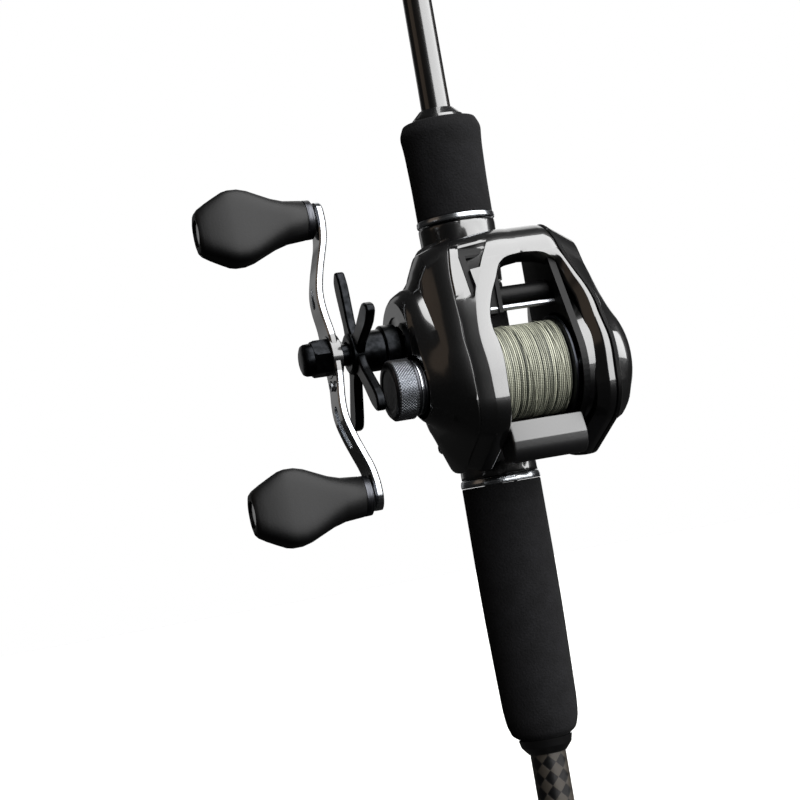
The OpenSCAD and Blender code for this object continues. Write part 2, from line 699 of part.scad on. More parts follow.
// ---- Level wind ----
module worm() {
  color("#c4c6c8") {
    pin_x(worm_y, worm_z, wall_out - 0.4, palm_out - 0.4, 1.7);
    pin_x(worm_y, worm_z, wall_out - 0.6, wall_in, 2);
    pin_x(worm_y, worm_z, palm_in, palm_out - 0.3, 2);
    pin_x(worm_y, worm_z, -17.8, wall_out - 0.5, 1.4);
  }
}
module worm_gear() {
  color("#d8d4c6") difference() {
    gear_x(worm_y, worm_z, -17.6, -16, worm_teeth, to_worm + 180 + 180 / worm_teeth);
    pin_x(worm_y, worm_z, -19, -15, 1.4);
  }
}
module worm_shield() {
  color("#101011") difference() {
    tube_x(worm_y, worm_z, wall_in, palm_in, 3, 2.1);
    translate([wall_in + 1.5, -worm_y + 0.5, worm_z - 0.9]) cube([palm_in - wall_in - 3, 4, 1.8]);
  }
}
module guide_bar() {
  color("#c4c6c8") pin_x(bar_y, bar_z, wall_out + 0.2, palm_out - 0.2, 1);
}
module line_guide() {
  color("#121213") difference() {
    union() {
      translate([guide_rest - 3, -worm_y - 7, worm_z - 5.8]) cube([6, 10.6, 9.6]);
      translate([guide_rest - 3, -worm_y - 7, worm_z + 3.4]) cube([6, 8, 4]);
    }
    pin_x(worm_y, worm_z, guide_rest - 5, guide_rest + 5, 3 + running_gap);
    pin_x(bar_y, bar_z, guide_rest - 5, guide_rest + 5, 1 + running_gap);
    // Slot that the line runs through
    translate([guide_rest - 1.7, -worm_y - 8, worm_z + 4.4]) cube([3.4, 3.6, 4]);
    translate([guide_rest - 1.7, -worm_y - 8, worm_z - 7]) cube([3.4, 2, 20]);
  }
  // Pawl that rides in the worm's thread
  color("#8d9093") translate([guide_rest - 0.6, -worm_y + 1.9, worm_z - 0.6]) cube([1.2, 1.3, 1.2]);
}
module guide_insert() {
  color("#d9dadc") difference() {
    translate([guide_rest - 1.7, -worm_y - 6, worm_z + 4.4]) cube([3.4, 1.6, 3]);
    translate([guide_rest - 0.9, -worm_y - 7, worm_z + 5.2]) cube([1.8, 4, 3]);
  }
}

// ---- Clutch ----
module thumb_bar() {
  w = palm_in - wall_in - 1.8;
  color("#6d7073") translate([wall_in + 0.9, 0, spool_z]) hull() {
    translate([0, -46.5, -19.6]) cube([w, 1, 3.2]);
    translate([0, -44, -27]) rotate([0, 90, 0]) cylinder(h = w, r = 2, $fn = 32);
    translate([0, -36, -26]) cube([w, 2, 3]);
  }
}
module clutch_cam() {
  color("#8d9093") tube_x(spool_y, spool_z, wall_out - 2, wall_out - 1, 8.4, 5.4);
}
module clutch_yoke() {
  color("#b5b7ba") difference() {
    translate([-17.2, -spool_y - 3.5, spool_z - 8]) cube([0.9, 7, 10.5]);
    pin_x(spool_y, spool_z, -19, -15, 1.85 + running_gap);
    translate([-18, -spool_y - 1.9, spool_z]) cube([3, 3.8, 5]);
  }
}
module yoke_springs() {
  color("#c4c6c8") pin_x(spool_y, spool_z - 6, -25.6, -17.3, 1.2);
}

butt_cap();
butt_grip();
butt_grip_check();
butt_blank();
carbon_wrap();
rear_grip_check();
rear_grip();
rear_grip_ring();
reel_seat();
sliding_hood();
lock_nut();
fore_grip();
fore_grip_ring();
fore_grip_check();
butt_guide_frames();
butt_guide_rings();
butt_wraps();
tip_blank();
tip_guide_frames();
tip_guide_rings();
tip_wraps();
tip_top();
tip_top_ring();
reel_foot();
reel_frame();
top_cover();
gear_side_plate();
case_screws();
palm_side_plate();
brake_dial();
brake_magnets();
spool();
spool_shaft();
line_pack();
spool_bearings();
main_gear();
pinion_gear();
main_shaft();
drag_washers();
one_way_bearing();
drag_star();
handle_arm();
handle_nut();
nut_retainer();
knob_posts();
upper_knob();
upper_knob_cap();
lower_knob();
lower_knob_cap();
cast_cap();
worm();
worm_gear();
line_guide();
guide_insert();
worm_shield();
guide_bar();
thumb_bar();
clutch_cam();
clutch_yoke();
yoke_springs();
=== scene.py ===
import math

import bmesh
import bpy
from mathutils import Matrix, Vector


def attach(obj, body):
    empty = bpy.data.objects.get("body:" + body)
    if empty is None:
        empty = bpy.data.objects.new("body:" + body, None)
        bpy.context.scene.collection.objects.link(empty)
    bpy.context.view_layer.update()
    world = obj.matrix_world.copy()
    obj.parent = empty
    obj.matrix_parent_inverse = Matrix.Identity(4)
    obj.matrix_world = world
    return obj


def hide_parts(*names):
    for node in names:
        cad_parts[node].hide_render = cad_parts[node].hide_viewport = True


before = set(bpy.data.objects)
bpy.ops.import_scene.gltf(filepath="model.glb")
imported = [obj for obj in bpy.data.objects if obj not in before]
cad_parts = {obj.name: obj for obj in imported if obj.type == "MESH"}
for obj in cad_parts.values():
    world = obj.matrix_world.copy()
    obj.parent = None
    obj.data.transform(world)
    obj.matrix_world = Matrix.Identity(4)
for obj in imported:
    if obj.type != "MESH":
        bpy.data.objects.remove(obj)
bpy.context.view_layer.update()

# ---- Camera ----
# Stands on the crank side in front of the reel, level with the seat's silver ring and looking
# a little up. It is rolled, so that the rod's tip leans to the left.
MM = 0.001


def placed(name, data):
    """An object of this data, put in the scene."""
    made = bpy.data.objects.new(name, data)
    bpy.context.collection.objects.link(made)
    return made


def place_camera(azimuth, distance, beside, height, level, lens, roll):
    turn = math.radians(azimuth)
    right = Vector((math.cos(turn), math.sin(turn), 0))
    away = Vector((-math.sin(turn), math.cos(turn), 0))
    eye = right * -beside - away * distance + Vector((0, 0, level))
    ahead = (right * -beside + Vector((0, 0, height)) - eye).normalized()
    camera = placed("camera", bpy.data.cameras.new("camera"))
    pose = Matrix((right, right.cross(ahead), -ahead)).transposed().to_4x4()
    lean = Matrix.Rotation(math.radians(roll), 4, "Z")
    camera.matrix_world = Matrix.Translation(eye) @ pose @ lean
    camera.data.lens = lens
    camera.data.sensor_width = 36
    camera.data.clip_start = 0.01
    camera.data.clip_end = 60
    bpy.context.scene.camera = camera


place_camera(
    azimuth=-17.5, distance=0.667, beside=0.0285, height=0.316, level=0.283, lens=90, roll=-9.76
)


# ---- Studio ----
# A plain pale floor and a white surround. A tall soft panel stands at the front right, where the
# gloss faces mirror it; dim warm light comes from the crank side and a faint one from behind.
def linear(code, alpha=1.0):
    """The linear colour of an sRGB hex code."""
    parts = [int(code[i : i + 2], 16) / 255 for i in (1, 3, 5)]
    return [c / 12.92 if c <= 0.04045 else ((c + 0.055) / 1.055) ** 2.4 for c in parts] + [alpha]


def add(tree, kind, inputs=(), **settings):
    """A node with its settings. Its inputs are named, or a tuple of the first ones. Each is a
    value, a socket, or a node that gives its first output."""
    made = tree.nodes.new(kind)
    for name, value in settings.items():
        setattr(made, name, value)
    for name, value in inputs.items() if isinstance(inputs, dict) else enumerate(inputs):
        source = value.outputs[0] if isinstance(value, bpy.types.Node) else value
        if isinstance(source, bpy.types.NodeSocket):
            tree.links.new(source, made.inputs[name])
        else:
            made.inputs[name].default_value = value
    return made


surround = bpy.data.worlds.new("surround")
surround.use_nodes = True
surround.node_tree.nodes.clear()
sky = surround.node_tree
toward = add(sky, "ShaderNodeSeparateXYZ", {0: add(sky, "ShaderNodeTexCoord").outputs["Generated"]})
ahead = add(sky, "ShaderNodeMath", (toward.outputs[1], -1.0), operation="MULTIPLY")
bearing = add(sky, "ShaderNodeMath", (toward.outputs[0], ahead.outputs[0]), operation="ARCTAN2")
rise = add(sky, "ShaderNodeMath", {0: toward.outputs[2]}, operation="ARCSINE")


def ramp(value, low, high):
    """0 below low degrees and 1 above high degrees."""
    spread = {"Value": value, 1: math.radians(low), 2: math.radians(high)}
    return add(sky, "ShaderNodeMapRange", spread, interpolation_type="SMOOTHSTEP")


def soft_panel(left, right, bottom, top, strength, colour):
    """Light from a patch of the surround, between two bearings from the front and two heights."""
    sides = (ramp(bearing, left - 3, left + 3), ramp(bearing, right + 3, right - 3))
    ends = (ramp(rise, bottom - 3, bottom + 3), ramp(rise, top + 4, top - 4))
    patch = sides[0]
    for edge in (sides[1], *ends):
        patch = add(sky, "ShaderNodeMath", (patch, edge), operation="MULTIPLY")
    power = add(sky, "ShaderNodeMath", (patch, strength), operation="MULTIPLY")
    return add(sky, "ShaderNodeBackground", {"Color": linear(colour), "Strength": power})


felt = add(sky, "ShaderNodeBackground", {"Color": (1, 1, 1, 1), "Strength": 0.03})
for panel in (
    soft_panel(-8, 84, -7, 82, 7.0, "#ffffff"),
    soft_panel(-105, -70, 8, 50, 0.5, "#c8b09a"),
    soft_panel(-176, -160, -10, 40, 0.35, "#ffffff"),
    soft_panel(140, 165, -10, 50, 1.2, "#ffffff"),
):
    felt = add(sky, "ShaderNodeAddShader", (felt, panel))
seen = add(sky, "ShaderNodeBackground", {"Color": (1, 1, 1, 1), "Strength": 1.0})
path = add(sky, "ShaderNodeLightPath")
mix = add(sky, "ShaderNodeMixShader", (path.outputs["Is Camera Ray"], felt, seen))
add(sky, "ShaderNodeOutputWorld", {"Surface": mix})
bpy.context.scene.world = surround
bpy.context.scene.view_settings.view_transform = "Standard"


def new_material(name, colour, roughness, metallic=0.0, more=()):
    """A principled material. Returns it with its tree and shader, for the pattern to be added."""
    material = bpy.data.materials.new(name)
    material.use_nodes = True
    tree = material.node_tree
    shader = tree.nodes["Principled BSDF"]
    shader.inputs["Base Color"].default_value = linear(colour)
    shader.inputs["Roughness"].default_value = roughness
    shader.inputs["Metallic"].default_value = metallic
    for setting, value in dict(more).items():
        shader.inputs[setting].default_value = value
    return material, tree, shader


def relief(tree, shader, height, depth, strength=1.0):
    """Raises the surface by a pattern; depth is in metres."""
    bump = add(tree, "ShaderNodeBump", {"Strength": strength, "Distance": depth, "Height": height})
    tree.links.new(bump.outputs[0], shader.inputs["Normal"])


def object_noise(tree, grain, detail=3.0, stretch=(1, 1, 1)):
    """Noise in object coordinates whose features are about grain metres across."""
    where = add(tree, "ShaderNodeTexCoord")
    scale = [s / grain for s in stretch]
    place = add(tree, "ShaderNodeMapping", {"Vector": where.outputs["Object"], "Scale": scale})
    return add(tree, "ShaderNodeTexNoise", {"Vector": place, "Scale": 1.0, "Detail": detail})


def painted_floor():
    material, tree, shader = new_material("pale_studio_paint", "#f4f4f2", 0.85)
    relief(tree, shader, object_noise(tree, 0.004), 0.0001)
    # A dark card under the paint keeps the floor's glare out of the gloss
    card = add(tree, "ShaderNodeBsdfDiffuse", {"Color": linear("#1c1c1c")})
    seen = add(tree, "ShaderNodeLightPath").outputs["Is Camera Ray"]
    mixed = add(tree, "ShaderNodeMixShader", (seen, card, shader))
    tree.links.new(mixed.outputs[0], tree.nodes["Material Output"].inputs["Surface"])
    return material


floor_mesh = bpy.data.meshes.new("floor")
floor_half = 6
floor_mesh.from_pydata(
    [(x, y, 0) for x, y in ((-1, -1), (1, -1), (1, 1), (-1, 1))], [], [(0, 1, 2, 3)]
)
floor_mesh.transform(Matrix.Scale(floor_half, 4))
floor_mesh.materials.append(painted_floor())
placed("floor", floor_mesh)


# ---- Butt cap and foam grips ----
# The grips are EVA foam, ground to their profile on a lathe and slid over the blank, so the skin is
# matt and finely pitted. The butt ends in a hard rubber cap with a rounded rim.
def filleted(corners, steps=5):
    """Rounds a closed profile whose corners are (radius, place, size of the round)."""
    rounded = []
    for i, (x, y, size) in enumerate(corners):
        corner = Vector((x, y))
        if not size:
            rounded.append(corner)
            continue
        before = Vector(corners[i - 1][:2]) - corner
        after = Vector(corners[(i + 1) % len(corners)][:2]) - corner
        reach = min(size, before.length * 0.48, after.length * 0.48)
        start, stop = corner + before.normalized() * reach, corner + after.normalized() * reach
        for k in range(steps + 1):
            t = k / steps
            rounded.append(start * (1 - t) ** 2 + corner * 2 * t * (1 - t) + stop * t**2)
    return rounded


def turned(profile, sides=96, about="Z", centre=(0, 0)):
    """A closed profile of (radius, place) swept round the Z axis, or round an X axis at (y, z)."""
    points, faces = [], []
    for radius, place in profile:
        for k in range(sides):
            turn = math.tau * k / sides
            a, b = centre[0] + radius * math.cos(turn), centre[1] + radius * math.sin(turn)
            points.append((a, b, place) if about == "Z" else (place, a, b))
    for i in range(len(profile)):
        j = (i + 1) % len(profile)
        for k in range(sides):
            m = (k + 1) % sides
            faces.append((i * sides + k, i * sides + m, j * sides + m, j * sides + k))
    return points, faces


def joined(*shapes):
    """Several closed shapes as one."""
    points, faces = [], []
    for more, corners in shapes:
        faces += [tuple(k + len(points) for k in face) for face in corners]
        points += [tuple(p) for p in more]
    return points, faces


def clean_mesh(name, shape, size=1.0):
    """A mesh of merged points whose faces look outward."""
    mesh = bpy.data.meshes.new(name)
    mesh.from_pydata([tuple(p) for p in shape[0]], [], shape[1])
    work = bmesh.new()
    work.from_mesh(mesh)
    bmesh.ops.remove_doubles(work, verts=work.verts, dist=0.002)
    bmesh.ops.dissolve_degenerate(work, edges=work.edges, dist=0.001)
    bmesh.ops.recalc_face_normals(work, faces=work.faces)
    bmesh.ops.scale(work, vec=(size,) * 3, verts=work.verts)
    work.to_mesh(mesh)
    work.free()
    return mesh


def fitted(name, mesh, body, material, nodes, sharp=35):
    """Shades a finished mesh, gives it its finish and puts it on its body."""
    mesh.shade_smooth()
    mesh.set_sharp_from_angle(angle=math.radians(sharp))
    mesh.materials.clear()
    mesh.materials.append(material)
    made = placed(name, mesh)
    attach(made, body)
    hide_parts(*nodes)
    return made


def piece(name, shape, body, slot, material, *nodes, sharp=35):
    """A piece from a shape in millimetres, which stands for these nodes."""
    return fitted(name, clean_mesh(name, shape, MM), body, material, nodes, sharp)


def refinish(material, *nodes):
    """Gives nodes whose shape stays their finish."""
    for node in nodes:
        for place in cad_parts[node].material_slots:
            place.material = material


def tinted(tree, shader, value, dark, light, low=0.35, high=0.65):
    """Colours the surface from dark to light while a socket runs from low to high."""
    spread = add(tree, "ShaderNodeMapRange", (value, low, high))
    colour = add(
        tree, "ShaderNodeMix", {0: spread, 6: linear(dark), 7: linear(light)}, data_type="RGBA"
    )
    tree.links.new(colour.outputs[2], shader.inputs["Base Color"])


def grained(name, colour, roughness, metallic, noise, cloud, bump=None, more=()):
    """A material clouded between two colours by a noise of (grain, detail, stretch), which can
    raise it too, by a bump of (depth, strength)."""
    material, tree, shader = new_material(name, colour, roughness, metallic, more)
    grain = object_noise(tree, *noise)
    tinted(tree, shader, grain, *cloud)
    if bump:
        relief(tree, shader, grain, *bump)
    return material


def ground_eva_foam():
    # Cells of 0.2 to 0.6 mm cut open by the grinding give a dead matt, slightly cloudy black
    dull = {"Specular IOR Level": 0.2}
    material, tree, shader = new_material("ground_eva_foam", "#121213", 0.95, 0.0, dull)
    cells = object_noise(tree, 0.0007, 4.0)
    cloud = object_noise(tree, 0.006, 2.0)
    both = add(tree, "ShaderNodeMath", (cells, cloud), operation="MULTIPLY")
    tinted(tree, shader, both, "#040405", "#0e0e10", 0.12, 0.4)
    relief(tree, shader, cells, 0.00025, 0.9)
    return material


def moulded_rubber():
    # A fine cast skin, half matt, with a faint cloudiness
    cloud = ("#030303", "#070708")
    return grained("moulded_rubber", "#0b0b0c", 0.6, 0.0, (0.0009,), cloud, (0.00008, 0.6))


foam = ground_eva_foam()
rubber = moulded_rubber()
butt_cap_profile = filleted([(0, 0, 0), (11.8, 0, 1), (13.6, 2.2, 2), (13.6, 14, 0.5), (0, 14, 0)])
piece("butt_cap", turned(butt_cap_profile), "rod", "trim", rubber, "butt_cap")

foam_profiles = {
    "butt_grip": [
        (5.65, 14, 0), (12.8, 14, 0.6), (14, 17.5, 2), (14, 96, 3), (11, 103, 1.6), (10, 104, 0.6),
        (5.65, 104, 0)
    ],
    "rear_grip": [
        (5.65, 198, 0), (8.2, 198, 0.4), (10.7, 199.6, 1.2), (12, 203.5, 2), (12.5, 209, 3),
        (13.3, 244, 12), (13.2, 282.9, 0.5), (5.65, 282.9, 0),
    ],
    "fore_grip": [
        (10.5, 373.05, 0), (12.7, 373.05, 0.5), (12.8, 385, 4), (13.2, 397, 4), (13.8, 402.5, 1.6),
        (12.2, 406, 0.8), (5.1, 406, 0), (5.1, 403, 0), (9.5, 403, 0), (9.5, 401, 0),
        (10.5, 401, 0),
    ],
}
for grip, body in (("butt_grip", "rod"), ("rear_grip", "rod"), ("fore_grip", "grip_nut")):
    made = piece(
        grip, turned(filleted(foam_profiles[grip]), 128), body, "foam", foam, grip, sharp=60
    )


# ---- Blank, carbon wrap and winding checks ----
# The blank is rolled graphite under clear lacquer: black with faint slow brown streaks along it.
# Ahead of the rear grip it carries a woven carbon sleeve, and hard checks close the grips.
def coated(name, colour):
    """A material under clear gloss lacquer."""
    coat = {"Coat Weight": 1.0, "Coat Roughness": 0.04, "Coat IOR": 1.6}
    return new_material(name, colour, 0.3, 0.0, coat)


def lacquered(name, colour, cloud, grain):
    """The same, with a slow clouding below the lacquer."""
    material, tree, shader = coated(name, colour)
    tinted(tree, shader, object_noise(tree, grain), colour, cloud)
    return material, tree, shader


def rolled_graphite():
    # Slow brown streaks run along the rod under the lacquer
    material, tree, shader = coated("lacquered_graphite", "#050505")
    streak = object_noise(tree, 0.006, 3.0, (1, 1, 0.25))
    tinted(tree, shader, streak, "#010101", "#100b08", 0.45, 0.75)
    return material


def woven_carbon():
    # Crossed tows 5 mm wide, seen as light and dark lozenges that turn with the sleeve
    material, tree, shader = coated("woven_carbon_sleeve", "#050505")
    place = add(
        tree, "ShaderNodeSeparateXYZ", {0: add(tree, "ShaderNodeTexCoord").outputs["Object"]}
    )
    turn = add(tree, "ShaderNodeMath", (place.outputs[1], place.outputs[0]), operation="ARCTAN2")
    tows = add(tree, "ShaderNodeMath", (turn, 8 / math.tau), operation="MULTIPLY")
    rise = add(tree, "ShaderNodeMath", (place.outputs[2], 1 / 0.005), operation="MULTIPLY")
    left = add(tree, "ShaderNodeMath", (tows, rise), operation="ADD")
    right = add(tree, "ShaderNodeMath", (tows, rise), operation="SUBTRACT")
    cross = add(tree, "ShaderNodeCombineXYZ", (left, right, 0.5))
    cells = add(tree, "ShaderNodeTexChecker", {"Vector": cross, "Scale": 1.0})
    tinted(tree, shader, cells.outputs["Fac"], "#010102", "#34302b", 0, 1)
    relief(tree, shader, cells.outputs["Fac"], 0.00008, 0.5)
    return material


graphite = rolled_graphite()
gloss_check = lacquered("lacquered_check", "#010102", "#040404", 0.003)[0]
refinish(graphite, "butt_blank", "tip_blank")
refinish(woven_carbon(), "carbon_wrap")
refinish(gloss_check, "butt_grip_check", "rear_grip_check", "fore_grip_check")


# ---- Silver rings ----
# A bright aluminium ring stands at each end of the reel seat, turned with a rounded rim and
# polished, so that it flashes as a thin white band between the foam and the seat.
def polished_aluminium():
    # Turning marks run round the ring and break its flash into fine streaks
    marks, cloud = (0.0015, 2.0, (0.1, 0.1, 6)), ("#85888c", "#b6b9bd")
    return grained("polished_aluminium", "#a7aaae", 0.22, 1.0, marks, cloud, (0.00003, 0.5))


bright_ring = polished_aluminium()
rear_ring = filleted(
    [(5.65, 283, 0), (13.3, 283, 0.3), (13.4, 284.2, 0.6), (13, 285.5, 0.4), (5.65, 285.5, 0)]
)
fore_ring = filleted(
    [(9.1, 371, 0), (13, 371, 0.3), (13.2, 371.6, 0.5), (13.1, 373, 0.3), (9.1, 373, 0)]
)
piece("rear_grip_ring", turned(rear_ring, 128), "rod", "silver", bright_ring, "rear_grip_ring")
piece("fore_grip_ring", turned(fore_ring, 128), "grip_nut", "silver", bright_ring, "fore_grip_ring")


# ---- Reel seat, sliding hood and lock nut ----
# The seat is moulded glass-filled nylon with a finger trigger and a fixed hood, lacquered gloss
# black. The sliding hood and the nut in the fore grip clamp the reel's foot against it.
def evaluated(host):
    """The plain mesh that an object's modifiers give. The object goes."""
    result = host.evaluated_get(bpy.context.evaluated_depsgraph_get())
    mesh = bpy.data.meshes.new_from_object(result)
    host.modifiers.clear()
    bpy.data.objects.remove(host)
    return mesh


def softened(node, grain, rounds):
    """A node's shape with its moulded edges rounded, in cells of grain metres."""
    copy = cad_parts[node].data.copy()
    work = bmesh.new()
    work.from_mesh(copy)
    bmesh.ops.remove_doubles(work, verts=work.verts, dist=2e-6)
    work.to_mesh(copy)
    work.free()
    made = placed("work", copy)
    cells = made.modifiers.new("cells", "REMESH")
    cells.mode = "VOXEL"
    cells.voxel_size = grain
    ease = made.modifiers.new("ease", "SMOOTH")
    ease.iterations = rounds
    ease.factor = 0.5
    result = evaluated(made)
    result.name = node
    return result


gloss_nylon = lacquered("lacquered_nylon_seat", "#010102", "#050404", 0.005)[0]
fitted("reel_seat", softened("reel_seat", 0.0007, 5), "rod", gloss_nylon, ["reel_seat"], 70)
fitted(
    "sliding_hood", softened("sliding_hood", 0.0006, 4), "hood", gloss_nylon,
    ["sliding_hood"], 70
)
refinish(bright_ring, "lock_nut")


# ---- Guides and wraps ----
# Each line guide is a blackened steel frame that holds a polished ceramic ring. Its feet are bound
# to the blank with fine thread, which is soaked in clear resin.
def blackened_steel():
    # Dark smoked chrome: a metal sheen with slow streaks along the wire
    streaks, cloud = (0.002, 2.0, (3, 3, 0.5)), ("#2b2d30", "#45474b")
    return grained("blackened_steel", "#3a3c40", 0.3, 1.0, streaks, cloud)


def polished_ceramic():
    # Almost black and glassy, a little cloudy in its depth
    cloud = ("#0d0d0f", "#19191c")
    return grained("polished_ceramic", "#121214", 0.08, 0.0, (0.001,), cloud)


def bound_thread():
    # Thread of 0.25 mm laid side by side; under the resin only its ridges catch the light
    material, tree, shader = lacquered("resin_coated_thread", "#060607", "#141416", 0.002)
    place = add(tree, "ShaderNodeTexCoord")
    turns = add(
        tree, "ShaderNodeMapping", {"Vector": place.outputs["Object"], "Scale": (1, 1, 1 / 0.004)}
    )
    ridges = add(
        tree, "ShaderNodeTexWave", {"Vector": turns, "Scale": 1.0}, bands_direction="Z"
    )
    relief(tree, shader, ridges.outputs["Fac"], 0.00006, 0.7)
    return material


smoked_chrome = blackened_steel()
refinish(smoked_chrome, "butt_guide_frames", "tip_guide_frames", "tip_top")
refinish(polished_ceramic(), "butt_guide_rings", "tip_guide_rings", "tip_top_ring")
refinish(bound_thread(), "butt_wraps", "tip_wraps")


# ---- Reel frame, foot and screws ----
# The one-piece frame is moulded in glass-filled nylon and left with its fine matt grain. Its foot
# is a stamped plate held by two screws, and three small steel screws hold the gear side's plate.
def glass_filled_nylon():
    # Short glass fibres under the skin give a dull black with a fine even grain
    cloud, bump, more = ("#020202", "#060607"), (0.00006, 0.7), {"Specular IOR Level": 0.15}
    return grained("glass_filled_nylon", "#0a0a0b", 0.5, 0.0, (0.0008,), cloud, bump, more)


def bright_steel_and_knurl_highlight():
    # Ground stainless steel, bright grey with hairline marks. The same finish is also the painted
    # highlight on the cast cap's knurl
    marks, cloud, bump = (0.0012, 2.0, (0.3, 5, 5)), ("#83868a", "#aeb0b4"), (0.00002, 0.4)
    return grained("stainless_steel_and_painted_knurl_highlight", "#9a9ca0", 0.28, 1.0, marks, cloud, bump)


dull_nylon = glass_filled_nylon()
steel = bright_steel_and_knurl_highlight()
refinish(dull_nylon, "reel_frame", "reel_foot", "worm_shield")
refinish(steel, "spool_shaft", "spool_bearings", "one_way_bearing", "knob_posts")
refinish(steel, "worm", "guide_bar", "yoke_springs", "clutch_yoke", "clutch_cam", "brake_magnets")
refinish(steel, "nut_retainer")


# ---- Top cover ----
# A moulded hood closes the reel over its frame, with a tall arched window for the spool. Its front
# is broad and flat, its left flank falls away past a crease, and its finish is pearl black lacquer.
def pearl_black():
    # Fine bright flakes lie under a clear coat, so that the black turns to grey grain in the light
    material, tree, shader = coated("pearl_black_lacquer", "#020202")
    flakes = object_noise(tree, 0.00035, 2.0)
    tinted(tree, shader, flakes, "#010101", "#09090a", 0.45, 0.72)
    relief(tree, shader, flakes, 0.00001, 0.25)
    return material


def follow(table, place):
    """Reads a smooth line through (place, value) points."""
    if place <= table[0][0]:
        return table[0][1]
    if place >= table[-1][0]:
        return table[-1][1]
    k = max(i for i in range(len(table) - 1) if table[i][0] <= place)
    slopes = []
    for i in (k, k + 1):
        a, b = table[max(i - 1, 0)], table[min(i + 1, len(table) - 1)]
        slopes.append((b[1] - a[1]) / (b[0] - a[0]))
    (x0, y0), (x1, y1) = table[k], table[k + 1]
    w, t = x1 - x0, (place - x0) / (x1 - x0)
    ends = (2 * t**3 - 3 * t**2 + 1) * y0 + (3 * t**2 - 2 * t**3) * y1
    return ends + w * ((t**3 - 2 * t**2 + t) * slopes[0] + (t**3 - t**2) * slopes[1])


def eased(value, low, high):
    t = min(max((value - low) / (high - low), 0), 1)
    return t * t * (3 - 2 * t)


def stretched_band(circles, turns=240):
    """The edge of a band stretched round circles (y, z, radius), as points in order."""
    bearings = [math.tau * k / turns for k in range(turns)]
    dots = sorted(
        (y + r * math.cos(a), z + r * math.sin(a)) for y, z, r in circles for a in bearings
    )

    def side(dots):
        kept = []
        for y, z in dots:
            while len(kept) > 1:
                (y0, z0), (y1, z1) = kept[-2:]
                if (y1 - y0) * (z - z0) - (z1 - z0) * (y - y0) > 1e-9:
                    break
                kept.pop()
            kept.append((y, z))
        return kept[:-1]

    return side(dots) + side(dots[::-1])


def walled(outer, inner, faces):
    """Closes a sheet into a wall, from its outer points, the matching inner ones and its faces."""
    first = {}
    same = [first.setdefault(tuple(round(c, 3) for c in point), i) for i, point in enumerate(outer)]
    faces = [tuple(same[k] for k in face) for face in faces]
    sides = {(face[i - 1], face[i]) for face in faces for i in range(len(face))}
    rim = [(b, a) for a, b in sides if (b, a) not in sides]
    n = len(outer)
    back = [tuple(k + n for k in face[::-1]) for face in faces]
    return outer + inner, faces + back + [(a, b, b + n, a + n) for a, b in sorted(rim)]


body_circles = [
    (-32, 317, 18.2), (-21.2, 331.25, 18.6), (-24, 351, 11.5), (-21, 300, 11), (-37.6, 309.5, 12.6)
]
seam_left = [
    (288, -19.5), (295, -20.2), (307, -20.7), (328, -20.9), (335, -20), (342, -19.4),
    (348.7, -18.6), (354.8, -17.3), (358.8, -15.9), (362, -13.5), (364, -12),
]
crease_left = [
    (288, -15), (300, -15.4), (316, -15.8), (325, -16.2), (331.3, -15.5), (337.8, -13.9),
    (343.7, -11.6), (350, -8.2), (355.4, -5), (363, 0.9),
]
window_left = [
    (296, -10.9), (310.7, -10.7), (321, -10.4), (326, -10.4), (330.6, -10.8), (335.5, -9.9),
    (341.4, -7.3), (346.6, -4.1), (350, -2.2), (351.4, -1), (353, 1.9), (353.7, 6.7),
]
window_right = [
    (296, 19.3), (313, 19.5), (319.4, 19.9), (324.8, 20.4), (330.5, 20.5), (337.9, 20.5),
    (343.4, 19), (346.4, 18.4), (350, 17.7), (351.7, 15.7), (353.3, 11.7), (353.7, 6.7),
]
seam_right = [
    (288, 24), (300, 24.6), (310, 25), (321.7, 25.4), (330, 24.9), (335, 24.8), (340.4, 23.7),
    (345.3, 22), (352, 19.9), (359, 18.6), (362.3, 17.7), (364, 17.2),
]
arch_top = 353.7


def cover_rows():
    """(y, z, outward y, outward z) up the front of the body, close together at the arch."""
    edge = stretched_band(body_circles, 720)[::-1]
    low = min(
        range(len(edge)), key=lambda i: abs(edge[i][0] + 24) + (99 if edge[i][1] > 320 else 0)
    )
    edge = edge[low:] + edge[:low]
    rows, walked, due = [], 0, 0
    for (y0, z0), (y1, z1) in zip(edge, edge[1:]):
        if y1 > -24 and z1 > 340:
            break
        step = math.hypot(y1 - y0, z1 - z0)
        while due <= walked + step:
            t = (due - walked) / step
            y, z = y0 + (y1 - y0) * t, z0 + (z1 - z0) * t
            rows.append([y, z, -(z1 - z0) / step, (y1 - y0) / step])
            due += 0.2 if 346 < z < 354.5 else 0.7
        walked += step
    nearest = min(rows, key=lambda row: abs(row[1] - arch_top))
    nearest[1] = arch_top
    for i in range(1, len(rows) - 1):
        n = Vector(rows[i - 1][2:]) + Vector(rows[i][2:]) + Vector(rows[i + 1][2:])
        rows[i] = rows[i][:2] + list(n.normalized())
    return rows


